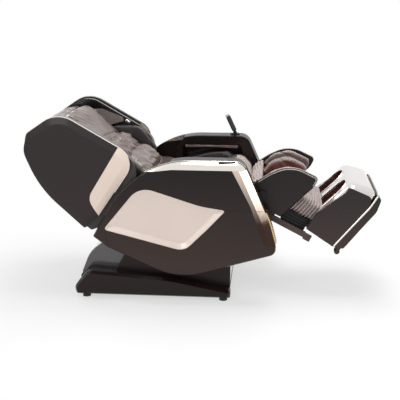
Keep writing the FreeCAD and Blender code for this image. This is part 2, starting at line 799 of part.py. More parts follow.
def build_base():
    """Frame, covers, rails, feet, power box and transport wheels."""
    tube = size("frame_tube")
    floor = size("rubber_foot_height") + size("rear_cover_wall")
    sources = []
    for hand, sign in (("right", -1), ("left", 1)):
        sources.append(sized(
            "Part::Box", f"long_tube_{hand}",
            {"Length": "Sizes.cross_tube_front_x - Sizes.cross_tube_rear_x - Sizes.frame_tube",
             "Width": "Sizes.frame_tube", "Height": "Sizes.frame_tube"},
            chair.multiply(Placement(Vector(size("cross_tube_rear_x") + tube / 2,
                                            sign * size("frame_side") - tube / 2, floor),
                                     Rotation()))))
    for place in ("rear", "front"):
        sources.append(sized(
            "Part::Box", f"cross_tube_{place}",
            {"Length": "Sizes.frame_tube", "Height": "Sizes.frame_tube",
             "Width": "2 * (Sizes.base_half_width - Sizes.base_bevel_depth - Sizes.moving_gap)"},
            chair.multiply(Placement(
                Vector(size(f"cross_tube_{place}_x") - tube / 2,
                       -(size("base_half_width") - size("base_bevel_depth") - moving_gap), floor),
                Rotation()))))
    nodes.append(combined("Part::Compound", "floor_frame", sources))

    feet = []
    for place in ("rear", "front"):
        for hand, sign in (("right", -1), ("left", 1)):
            spot = Vector(size(f"rubber_foot_{place}_x"), sign * size("rubber_foot_side"), 0)
            feet.append(sized("Part::Cylinder", f"rubber_foot_{place}_{hand}",
                              {"Radius": "Sizes.rubber_foot_radius",
                               "Height": "Sizes.rubber_foot_height"},
                              chair.multiply(Placement(spot, Rotation()))))
    nodes.append(combined("Part::Compound", "rubber_feet", feet))

    runner = corners("runner")
    outer = size("base_half_width")
    edge = outer - size("base_bevel_depth")
    inner = outer - size("runner_width")
    cover = bevelled(runner, size("base_bevel"), -inner, -edge, -outer)
    cover = cover.cut(slab(grown(runner, -size("rear_cover_wall")), -inner + 1, -edge))
    nodes.append(piece("base_covers", both_sides(cover), chair))

    sheet_down = size("deck_sheet")
    deck_points = corners("deck")
    under = [(x + (sheet_down if index == 0 else 0), z - (sheet_down if index else 0), bend)
             for index, (x, z, bend) in enumerate(deck_points)]
    deck = slab(deck_points + under[::-1], -(inner - face_gap), inner - face_gap)
    side = size("wheel_side")
    room = size("wheel_radius") + moving_gap
    slot = block((size("wheel_x") - room, -side - 22, size("wheel_z") - room),
                 (size("wheel_x") + room, -side + 22, size("wheel_z") + room))
    box_half = size("power_box_width") / 2 + face_gap
    window = block((-FAR, -box_half, 0),
                   (size("power_box_rear_x") + size("power_box_length") + face_gap, box_half,
                    size("power_box_low") + size("power_box_height") + face_gap))
    deck = deck.cut(Part.makeCompound([slot, other_side(slot), window]))
    nodes.append(piece("base_deck", deck, chair))

    cover_points = corners("rear_cover")
    half = size("rear_cover_half")
    wall = size("rear_cover_wall")
    shell = slab(cover_points, -half, half)
    hollow = slab(cover_points, -half + wall, half - wall)
    hollow.translate(Vector(wall, 0, -wall))
    shell = shell.cut(hollow)
    under_deck = slab([(-FAR, -FAR, 0), (-FAR, 0, 0), (deck_points[0][0] - 40, 0, 0),
                       (deck_points[0][0], deck_points[0][1] + face_gap, 0),
                       (deck_points[1][0] - 4, deck_points[1][1] + face_gap, 0),
                       (*on_deck(0, face_gap), 0), (0, -FAR, 0)], -FAR, FAR)
    nodes.append(piece("rear_cover", shell.cut(under_deck), chair))

    slope = Rotation(upright_axis, deck_slope())
    rails = []
    for hand, sign in (("right", -1), ("left", 1)):
        start_x, start_z = on_deck(size("rail_rear_x"))
        spot = Vector(start_x, sign * size("rail_side") - size("rail_width") / 2, start_z)
        rails.append(sized("Part::Box", f"slide_rail_{hand}",
                           {"Length": "Sizes.rail_length", "Width": "Sizes.rail_width",
                            "Height": "Sizes.rail_height"},
                           chair.multiply(Placement(spot, slope))))
    nodes.append(combined("Part::Compound", "slide_rails", rails))

    rear = size("power_box_rear_x")
    low = size("power_box_low")
    box_middle = (rear + size("power_box_length") / 2, 0, low + size("power_box_height") / 2)
    housing = box("power_housing", box_middle,
                  ("power_box_length", "power_box_width", "power_box_height"), chair)
    inlet = box("inlet_socket", (rear + size("inlet_depth") / 2 - 0.01, size("inlet_side"),
                                 box_middle[2]),
                ("inlet_depth", "inlet_width", "inlet_height"), chair)
    recess = sized("Part::Box", "switch_recess",
                   {"Length": "Sizes.switch_depth + Sizes.moving_gap",
                    "Width": "Sizes.switch_width + Sizes.face_gap",
                    "Height": "Sizes.switch_height + 2 * Sizes.face_gap"},
                   chair.multiply(Placement(
                       Vector(rear - 0.01, size("switch_side") - (size("switch_width") + face_gap) / 2,
                              box_middle[2] - size("switch_height") / 2 - face_gap), Rotation())))
    nodes.append(less("power_box", housing, combined("Part::Compound", "power_holes",
                                                     [inlet, recess])))
    rocker = slab([(rear - size("switch_proud"), box_middle[2] - size("switch_height") / 2 + 1, 2),
                   (rear - 1, box_middle[2], 30),
                   (rear - size("switch_proud"), box_middle[2] + size("switch_height") / 2 - 1, 2),
                   (rear + size("switch_depth") - 4, box_middle[2] + 4, 3),
                   (rear + size("switch_depth") - 4, box_middle[2] - 4, 3)],
                  size("switch_side") - size("switch_width") / 2,
                  size("switch_side") + size("switch_width") / 2)
    nodes.append(piece("power_switch", rocker, chair))

    forks = []
    for hand, sign in (("right", -1), ("left", 1)):
        hub = (size("wheel_x"), sign * side, size("wheel_z"))
        nodes.append(wheel(f"transport_wheel_{hand}", hub, "wheel_radius", "wheel_axle_radius",
                           "wheel_width", chair))
        reach = size("wheel_width") / 2 + face_gap
        ears = [block((size("cross_tube_rear_x") - tube / 2 - size("fork_reach"), low_y, floor),
                      (size("cross_tube_rear_x") - tube / 2, low_y + size("fork_sheet"),
                       hub[2] + size("fork_above")))
                for low_y in (hub[1] - reach - size("fork_sheet"), hub[1] + reach)]
        axle = Part.makeCylinder(size("wheel_axle_radius"), 2 * (reach + size("fork_sheet")),
                                 Vector(hub[0], hub[1] - reach - size("fork_sheet"), hub[2]),
                                 upright_axis)
        forks.append(axle.fuse(ears).removeSplitter())
    nodes.append(piece("wheel_forks", Part.makeCompound(forks), chair))


def build_carriage():
    """The sliding carriage that carries the tilting seat."""
    plate = steel_side("carriage_plate_right", "carriage_plate", size("carriage_plate_side"),
                       ("tilt_pivot_x", "tilt_pivot_z"), chair)
    sources = [plate, mirror_of("carriage_plate_left", plate)]
    for name, along, up in (("rear", -150, 200), ("front", 60, 165)):
        sources.append(rod(f"carriage_tube_{name}", (along, 0, up), "carriage_tube_length",
                           "tube_radius", chair))
    slope = Rotation(upright_axis, deck_slope())
    lift = size("rail_height") + 0.6 + size("shoe_height") / 2
    for place in ("rear", "front"):
        for hand, sign in (("right", -1), ("left", 1)):
            x, z = on_deck(size(f"shoe_{place}_x"), lift)
            sources.append(box(f"shoe_{place}_{hand}", (x, sign * size("shoe_side"), z),
                               ("shoe_length", "shoe_width", "shoe_height"), chair, slope))
    nodes.append(combined("Part::MultiFuse", "carriage_frame", sources))

    outer = size("skirt_half_width")
    inner = outer - size("skirt_wall")
    skirt = bevelled(corners("skirt"), size("skirt_bevel"), -inner,
                     -outer + size("skirt_bevel"), -outer)
    nodes.append(piece("carriage_skirts", both_sides(skirt), chair))

    points = corners("skirt")
    front_x = size("front_cover_x")
    front = block((front_x, -inner + 0.5, size("front_cover_low")),
                  (front_x + size("front_cover_wall"), inner - 0.5, points[2][1] - 8))
    nodes.append(piece("carriage_front_cover", front, chair))


def knee_pivot():
    """The knee hinge in the chair's own directions."""
    return leg.multVec(Vector(size("knee_along"), 0, size("knee_above"))) - Vector(forward, 0, 0)


def build_seat():
    """The tilting seat frame and its cushion."""
    plate = steel_side("seat_plate_right", "seat_plate", size("seat_plate_side"),
                       ("back_pivot_x", "back_pivot_z"), chair)
    sources = [plate, mirror_of("seat_plate_left", plate)]
    pivot = knee_pivot()
    lug_side = size("knee_lug_side")
    lug_half = size("knee_lug_wall") / 2
    for name, along, up in (("rear", -400, 345), ("front", 190, 455)):
        sources.append(rod(f"seat_tube_{name}", (along, 0, up), "seat_tube_length",
                           "tube_radius", chair))
    pin_inner = size("seat_plate_side") - size("steel_plate") / 2
    pin_outer = size("carriage_plate_side") + size("steel_plate") / 2 + face_gap
    tilt_pin = Part.makeCylinder(size("pin_radius"), pin_outer - pin_inner,
                                 Vector(size("tilt_pivot_x"), -pin_outer, size("tilt_pivot_z")),
                                 upright_axis)
    lug = slab(corners("knee_lug"), -lug_side - lug_half, -lug_side + lug_half)
    knee_pin = Part.makeCylinder(size("pin_radius"),
                                 lug_side - size("calf_outer") + size("calf_depth") + 1,
                                 Vector(pivot.x, -lug_side, pivot.z), upright_axis)
    lug_points = corners("knee_lug")
    tie = block((lug_points[0][0] + 14, -lug_side, lug_points[0][1] + 4),
                (lug_points[0][0] + 44, -size("seat_plate_side"), lug_points[0][1] + 40))
    extras = [lug, knee_pin, tie]
    for place in ("rear", "front"):
        half = size("arm_bracket_length") / 2
        tall = size("arm_bracket_height") / 2
        x = size(f"arm_bracket_{place}_x")
        z = size(f"arm_bracket_{place}_z")
        extras.append(block((x - half, -size("arm_inner"), z - tall),
                            (x + half, -size("seat_plate_side"), z + tall)))
    fitting = tilt_pin.fuse(extras).removeSplitter()
    fittings = piece("seat_fittings", both_sides(fitting), chair)
    nodes.append(combined("Part::MultiFuse", "seat_frame", sources + [fittings]))

    half = size("seat_half_width")
    levels = soft_levels(-half, half, size("seat_draw"), size("seat_roll"), size("seat_crown"))
    nodes.append(piece("seat_cushion", cushion(corners("seat"), levels), chair))


def build_arms():
    """The two arms: panel, insert, rail, strip, vent, liner and forearm pads."""
    arm = corners("arm")
    outer, inner = size("arm_outer"), size("arm_inner")
    skin_in = outer - size("arm_skin_depth")
    core_in = inner + size("liner_wall")
    wall = size("skin_wall")
    trim_out = outer + moving_gap
    trim_in = trim_out - size("trim_depth")
    proud = grown(arm, size("trim_proud"))
    core_part = corners("arm_core")

    skin = bevelled(arm, size("arm_edge_inset"), -skin_in, -outer + size("arm_edge_depth"), -outer)
    core = slab(arm, -skin_in, -core_in).common(slab(core_part, -FAR, 0))
    hollow = slab(grown(arm, -wall), -skin_in, -core_in + 1)
    hollow = hollow.common(slab(grown(core_part, -wall), -FAR, 0))
    panel = skin.fuse(core.cut(hollow)).removeSplitter()

    rail_part = slab(corners("rail_part"), -FAR, 0)
    strip_part = slab(corners("strip_part"), -FAR, 0)
    vent_part = slab(corners("vent_part"), -FAR, 0)
    rail = bevelled(proud, size("rail_bevel_inset"), -trim_in, -trim_out + size("rail_bevel_depth"),
                    -trim_out).common(rail_part)
    strip = bevelled(proud, size("strip_bevel_inset"), -trim_in,
                     -trim_out + size("strip_bevel_depth"), -trim_out).common(strip_part)
    trim_room = slab(grown(arm, 5), -FAR, -trim_in)
    vent_out = size("vent_outer")
    vent_in = vent_out - size("vent_width")
    vent_room = slab(grown(arm, 5), -vent_out, -vent_in).cut(slab(grown(arm, -wall - 1), -FAR, 0))
    insert_points = corners("arm_insert")
    insert_room = slab(insert_points, -FAR, -skin_in + 1)
    panel = panel.cut(Part.makeCompound([trim_room.common(rail_part)]))
    panel = panel.cut(trim_room.common(strip_part))
    panel = panel.cut(vent_room.common(vent_part))
    panel = panel.cut(insert_room)
    nodes.append(piece("arm_panel_right", panel, chair))
    nodes.append(mirror_of("arm_panel_left", nodes[-1]))

    tray_room = key_tray(size("key_tray_height"))
    nodes.append(piece("arm_rails", Part.makeCompound(
        list(rail.cut(tray_room).Solids) + list(other_side(rail).Solids)), chair))
    nodes.append(piece("arm_strips", both_sides(strip), chair))

    vent = vent_room.common(vent_part).common(slab(proud, -FAR, 0))
    vent_low, vent_top = corners("vent_part")[1][1], corners("vent_part")[0][1]
    border = size("vent_border")
    level = vent_low + border
    while level + size("vent_slot") < vent_top - border:
        vent = vent.cut(block((0, -vent_out + border, level),
                              (FAR, -vent_in - border, level + size("vent_slot"))))
        level += size("vent_pitch")
    nodes.append(piece("arm_vents", both_sides(vent), chair))

    insert_face = -outer + size("arm_insert_sunk")
    insert_back = insert_face + size("arm_insert_depth")
    insert = slab(grown(insert_points, -0.4), insert_face, insert_back)
    dish = Part.makeLoft([wire(grown(insert_points, -2.5), insert_face - 0.5),
                          wire(grown(insert_points, -size("arm_insert_ledge")),
                               insert_face + size("arm_insert_dish"))], True, True)
    nodes.append(piece("arm_inserts", both_sides(insert.cut(dish)), chair))

    trough = corners("trough")
    trough_out = size("trough_outer")
    trough_wall = size("trough_wall")
    liner = slab(grown(arm, -face_gap), -core_in, -inner).common(slab(core_part, -FAR, 0))
    liner = liner.cut(slab(trough, -FAR, 0))
    cup = slab(grown(trough, trough_wall), -trough_out, -core_in)
    cup = cup.cut(slab(trough, -trough_out + trough_wall, 0))
    nodes.append(piece("arm_liners", both_sides(liner.fuse(cup).removeSplitter()), chair))

    deep = trough_out - trough_wall - face_gap
    upper = cushion(corners("upper_pad"), soft_levels(-deep, -inner - 2, 4, 12))
    lower = cushion(corners("lower_pad"), soft_levels(-deep, -inner + 2, 9, 20))
    nodes.append(piece("forearm_pads", both_sides(upper, lower), chair))


def key_tray(open_above=0.0):
    """The sunk dark tray of the two quick keys, with any space left open above it."""
    length, width, height = (size(f"key_tray_{part}") for part in ("length", "width", "height"))
    tray = Part.makeBox(length, width, height + open_above,
                        Vector(-length / 2, -width / 2, -height))
    tray.Placement = key_place()
    return tray


def key_place():
    """Where the key tray's top middle lies on the right arm."""
    return Placement(Vector(size("key_tray_x"), -size("key_tray_side"), size("key_tray_top")),
                     Rotation(Vector(0, 0, 1), size("key_tray_turn")))


def build_controls():
    """Quick keys in the right arm's rail and the tablet on the left arm."""
    gap = size("key_gap")
    length, width, height = (size(f"key_{part}") for part in ("length", "width", "height"))
    pocket_deep = height + size("key_travel") + gap
    pocket = Part.makeBox(2 * length + 3 * gap, width + 2 * gap, pocket_deep + 1,
                          Vector(-length - 1.5 * gap, -width / 2 - gap, -pocket_deep))
    pocket.Placement = key_place()
    nodes.append(piece("quick_key_tray", key_tray().cut(pocket), chair))
    for name, start in (("rear", -length - gap / 2), ("front", gap / 2)):
        key = sized("Part::Box", f"quick_key_{name}_block",
                    {"Length": "Sizes.key_length", "Width": "Sizes.key_width",
                     "Height": "Sizes.key_height"},
                    chair.multiply(key_place()).multiply(
                        Placement(Vector(start, -width / 2, -height + gap), Rotation())))
        rounded = doc.addObject("Part::Fillet", f"quick_key_{name}")
        rounded.Label = f"quick_key_{name}"
        rounded.Base = key
        rounded.Edges = [(number, 1.2, 1.2) for number in (2, 6, 10, 12)]
        nodes.append(rounded)

    lean = Rotation(upright_axis, -size("tablet_lean"))
    yaw = Rotation(Vector(0, 0, 1), size("tablet_yaw"))
    arm_top = corners("arm")[2][1]
    sheet_up = size("bracket_sheet")
    ear_tall = size("bracket_ear_height")
    hinge_z = arm_top + sheet_up + ear_tall - 5
    stand = chair.multiply(Placement(Vector(size("tablet_x"), size("tablet_side"), 0), yaw))
    base = box("bracket_base", (0, 0, arm_top + sheet_up / 2),
               ("bracket_length", "bracket_width", "bracket_sheet"), stand)
    ear_y = size("bracket_width") / 2 - size("bracket_ear") / 2
    ears = [box(f"bracket_ear_{name}", (0, sign * ear_y, arm_top + sheet_up + ear_tall / 2),
                ("bracket_ear_length", "bracket_ear", "bracket_ear_height"), stand)
            for name, sign in (("inner", -1), ("outer", 1))]
    pin = rod("bracket_pin", (0, 0, hinge_z), "bracket_width", "small_pin_radius", stand)
    nodes.append(combined("Part::MultiFuse", "tablet_bracket", [base, pin] + ears))

    held = stand.multiply(Placement(Vector(0, 0, hinge_z), lean))
    slate = box("tablet_slate", (0, 0, size("tablet_clear") + size("tablet_height") / 2),
                ("tablet_thick", "tablet_width", "tablet_height"), held)
    rounded = doc.addObject("Part::Fillet", "tablet_rounded")
    rounded.Label = "tablet_rounded"
    rounded.Base = slate
    corner = size("tablet_corner")
    rounded.Edges = [(number, corner, corner) for number in range(1, 13)]
    tongue_width = size("bracket_width") - 2 * size("bracket_ear") - 2 * face_gap
    tongue = Part.makeBox(14, tongue_width, 20, Vector(-7, -tongue_width / 2, -6))
    tongue_part = piece("tablet_tongue", tongue, held)
    joined = combined("Part::MultiFuse", "tablet_solid", [rounded, tongue_part])
    bore = rod("tablet_bore", (0, 0, 0), "bracket_width", "small_pin_radius", held,
               " + Sizes.running_gap")
    nodes.append(less("tablet", joined, bore))


def build_back():
    """The reclining back: shells, wings, cushions and structure."""
    shell_points = corners("back_shell")
    outer = size("shell_outer")
    inner = outer - size("shell_depth")
    edge = outer - size("shell_bevel_depth")
    wall = size("shell_wall")
    whole = bevelled(shell_points, size("shell_bevel_inset"), -inner, -edge, -outer)
    part = corners("insert_part")
    shell = whole.cut(slab(grown(shell_points, -wall), -edge + wall, 0))
    shell = shell.cut(slab(grown(part, 0.3), -FAR, 0))
    nodes.append(piece("back_shell_right", shell, back))
    nodes.append(mirror_of("back_shell_left", nodes[-1]))
    insert = whole.common(slab(part, -FAR, -edge + wall))
    nodes.append(piece("back_inserts", both_sides(insert), back))

    trim_width = size("back_trim_width")
    trim_part = slab(corners("trim_part"), -FAR, 0)
    trim = slab(grown(shell_points, trim_width), -edge, -edge + size("back_trim_depth"))
    trim = trim.cut(slab(grown(shell_points, 0.2), -FAR, 0)).common(trim_part)
    nodes.append(piece("back_trims", both_sides(trim), back))

    cheek_out = size("cheek_outer")
    cheek_in = cheek_out - size("cheek_depth")
    nodes.append(piece("back_cheeks", both_sides(slab(corners("cheek"), -cheek_out, -cheek_in)),
                       back))
    wing = slab(grown(shell_points, -size("wing_inset")), -cheek_out, -cheek_in)
    wing = wing.common(slab(corners("wing_part"), -FAR, 0))
    nodes.append(piece("wings", both_sides(wing), back))
    grille = slab(corners("grille"), -cheek_in, -cheek_in + size("grille_depth"))
    nodes.append(piece("speaker_grilles", both_sides(grille), back))
    pad_in = -cheek_in + size("shoulder_pad_depth")
    pad = cushion(corners("shoulder_pad"), [(-cheek_in + 0.3, -3), (-cheek_in + 4, -0.8),
                                            (-cheek_in + 9, 0), (pad_in - 9, -3),
                                            (pad_in - 3, -8), (pad_in, -15)])
    nodes.append(piece("shoulder_pads", both_sides(pad), back))

    skin_out = grown(shell_points, -size("rear_skin_inset"))
    skin = slab(skin_out, -inner + face_gap, inner - face_gap)
    skin = skin.cut(slab(grown(skin_out, -size("rear_skin_wall")), -FAR, FAR))
    skin = skin.common(slab(corners("rear_skin_part"), -FAR, FAR))
    side_parts = both_sides(slab(grown(corners("cheek"), face_gap), -cheek_out - 1, -cheek_in + 1),
                            slab(grown(corners("wing_part"), face_gap), -cheek_out - 1,
                                 -cheek_in + 1))
    plate_slot = size("back_plate_side") + size("steel_plate")
    slots = both_sides(block((-60, -plate_slot, 50), (120, -plate_slot + 16, 140)))
    nodes.append(piece("back_rear_cover", skin.cut(side_parts).cut(slots), back))

    plate = back_side_plate()
    sources = [plate, mirror_of("back_plate_left", plate)]
    for name in ("low", "high"):
        spot = (size(f"back_tube_{name}_x"), 0, size(f"back_tube_{name}_z"))
        sources.append(rod(f"back_tube_{name}", spot, "back_tube_length", "tube_radius", back))
    pin_in = size("seat_plate_side") - size("steel_plate") / 2 - face_gap
    pin = Part.makeCylinder(size("pin_radius"), size("back_plate_side") - pin_in,
                            Vector(0, -size("back_plate_side"), 0), upright_axis)
    pins = piece("back_pins", both_sides(pin), back)
    nodes.append(combined("Part::MultiFuse", "back_frame", sources + [pins]))

    half = size("back_cushion_half")
    draw = size("back_cushion_draw")
    dip = size("channel_depth")
    edges = soft_levels(-half, half, draw, size("back_cushion_roll"))
    channel = [(-0.74, -0.2), (-0.69, -0.7), (-0.66, -1), (-0.63, -0.7), (-0.58, -0.2)]
    dips = [(half * share, dip * depth) for share, depth in channel]
    levels = (edges[:5] + dips + [(-half * 0.3, 0), (0, 0), (half * 0.3, 0)]
              + [(-along, depth) for along, depth in reversed(dips)] + edges[-5:])
    nodes.append(piece("back_cushion", cushion(corners("back_cushion"), levels), back))
    half = size("pillow_half")
    levels = soft_levels(-half, half, size("pillow_draw"), size("pillow_roll"))
    nodes.append(piece("head_pillow", cushion(corners("pillow"), levels), back))


def back_side_plate():
    """The right hand steel side of the back, hung on the seat's rear pivot."""
    body, sketch = new_body("back_plate_right")
    sketch_polygon(sketch, "back_plate")
    padded_body(body, sketch, "Sizes.steel_plate")
    body.Placement = back.multiply(Placement(Vector(0, -size("back_plate_side"), 0), Rotation()))
    return body


def build_rollers():
    """The roller track in the back, its carriage and the two kneading arms."""
    bars = []
    middle = size("track_low") + size("track_length") / 2
    for hand, sign in (("right", -1), ("left", 1)):
        bars.append(box(f"track_bar_{hand}", (size("track_x"), sign * size("track_side"), middle),
                        ("track_bar", "track_bar", "track_length"), back))
    for name, end in (("low", -1), ("high", 1)):
        up = middle + end * (size("track_length") / 2 + size("track_bar") / 2)
        bars.append(box(f"track_cross_{name}", (size("track_x"), 0, up),
                        ("track_bar", "track_cross_length", "track_bar"), back))
    nodes.append(combined("Part::Compound", "roller_track", bars))

    block_x = size("track_x") + size("track_bar") / 2 + face_gap + size("roller_block_depth") / 2
    level = size("roller_block_z")
    nodes.append(box("roller_carriage", (block_x, 0, level),
                     ("roller_block_depth", "roller_block_width", "roller_block_height"), back))
    near = block_x + size("roller_block_depth") / 2 + face_gap
    plate = size("kneader_plate")
    half = size("kneader_half_width")
    reach = size("kneader_reach")
    side = size("kneader_side")
    points = [(-side - half, level - reach, half - 1), (-side - half, level + reach, half - 1),
              (-side + half, level + reach, half - 1), (-side + half, level - reach, half - 1)]
    arm = slab(points, near, near + plate, FRONT)
    balls = [Part.makeSphere(size("kneader_ball"), Vector(near + size("kneader_ball") + 1, -side,
                                                          level + end * (reach - half)))
             for end in (-1, 1)]
    arm = arm.fuse(balls).removeSplitter()
    nodes.append(piece("kneading_arm_right", arm, back))
    nodes.append(mirror_of("kneading_arm_left", nodes[-1]))


def build_leg():
    """The calf rest: side panels, tray, slide bars, pads and knee flap."""
    outer = size("calf_outer")
    inner = outer - size("calf_depth")
    calf = corners("calf")
    knee = (size("knee_along"), size("knee_above"))
    bore = Part.makeCylinder(size("pin_radius") + size("running_gap"), 2 * FAR,
                             Vector(knee[0], -FAR, knee[1]), upright_axis)
    panel = bevelled(calf, size("calf_bevel"), -inner, -outer + size("calf_bevel"), -outer)
    nodes.append(piece("calf_panels", both_sides(panel.cut(bore)), leg))

    sheet_up = size("tray_sheet")
    tray_points = corners("calf_tray")
    top = [(x, z + sheet_up, 0) for x, z, _ in tray_points]
    tray = slab(tray_points + top[::-1], -inner + face_gap, inner - face_gap)
    pin_room = Part.makeCylinder(size("pin_radius") + 2, 2 * FAR,
                                 Vector(knee[0], -FAR, knee[1]), upright_axis)
    plate_side = size("leg_plate_side")
    half = size("steel_plate") / 2
    plate = slab(corners("leg_plate"), -plate_side - half, -plate_side + half)
    slot = slab(grown(corners("leg_plate"), 0.5), -plate_side - half - 0.5, -plate_side + half + 0.5)
    tray = tray.cut(both_sides(slot)).cut(pin_room)
    nodes.append(piece("calf_tray", tray, leg))

    sources = [piece("leg_plates", both_sides(plate.cut(bore)), leg)]
    start = size("slide_bar_start") + size("slide_bar_length") / 2
    up = size("slide_bar_low") + size("slide_bar_height") / 2
    for hand, sign in (("right", -1), ("left", 1)):
        sources.append(box(f"slide_bar_{hand}", (start, sign * size("slide_bar_side"), up),
                           ("slide_bar_length", "slide_bar_width", "slide_bar_height"), leg))
        stop = (size("end_stop_start") + size("end_stop_length") / 2,
                sign * size("slide_bar_side"),
                size("end_stop_low") + size("end_stop_height") / 2)
        sources.append(box(f"end_stop_{hand}", stop,
                           ("end_stop_length", "slide_bar_width", "end_stop_height"), leg))
        reach = sorted((sign * (plate_side - half), sign * (size("slide_bar_side") + half)))
        bar_top = size("slide_bar_low") + size("slide_bar_height") + 1
        sources.append(piece(f"bar_link_{hand}", block((72, reach[0], bar_top - 12),
                                                       (128, reach[1], bar_top + 9)), leg))
    sources.append(rod("leg_cross", (size("leg_cross_along"), 0, size("leg_cross_above")),
                       "leg_cross_length", "tube_radius", leg))
    nodes.append(combined("Part::MultiFuse", "leg_frame", sources))

    draw = size("pad_draw")
    floor_half = size("floor_pad_half")
    floor = cushion(corners("floor_pad"), soft_levels(-floor_half, floor_half, draw / 2, 2 * draw))
    ridge = size("centre_pad_half")
    centre = cushion(corners("centre_pad"), soft_levels(-ridge, ridge, 1.3 * draw, 2.4 * draw))
    half = size("calf_inner")
    depth = size("side_pad_depth")
    side = cushion(corners("side_pad"), soft_levels(-half, -half + depth, draw, 1.6 * draw))
    pads = [floor, centre] + list(both_sides(side).Solids)
    nodes.append(piece("calf_cushions", Part.makeCompound(pads), leg))

    begin = math.radians(size("knee_flap_start"))
    sweep = math.radians(size("knee_flap_sweep"))
    edge_points = {}
    for ring in ("inner", "outer"):
        radius = size(f"knee_flap_{ring}")
        edge_points[ring] = [Vector(knee[0] + radius * math.cos(begin + sweep * share),
                                    -size("gusset_half"),
                                    knee[1] + radius * math.sin(begin + sweep * share))
                             for share in (0, 0.5, 1)]
    inner_points, outer_points = edge_points["inner"], edge_points["outer"]
    loop = Part.Wire([Part.Arc(*inner_points).toShape(),
                      Part.LineSegment(inner_points[2], outer_points[2]).toShape(),
                      Part.Arc(*outer_points[::-1]).toShape(),
                      Part.LineSegment(outer_points[0], inner_points[0]).toShape()])
    flap = Part.Face(loop).extrude(Vector(0, 2 * size("gusset_half"), 0))
    nodes.append(piece("knee_gusset", flap, leg))


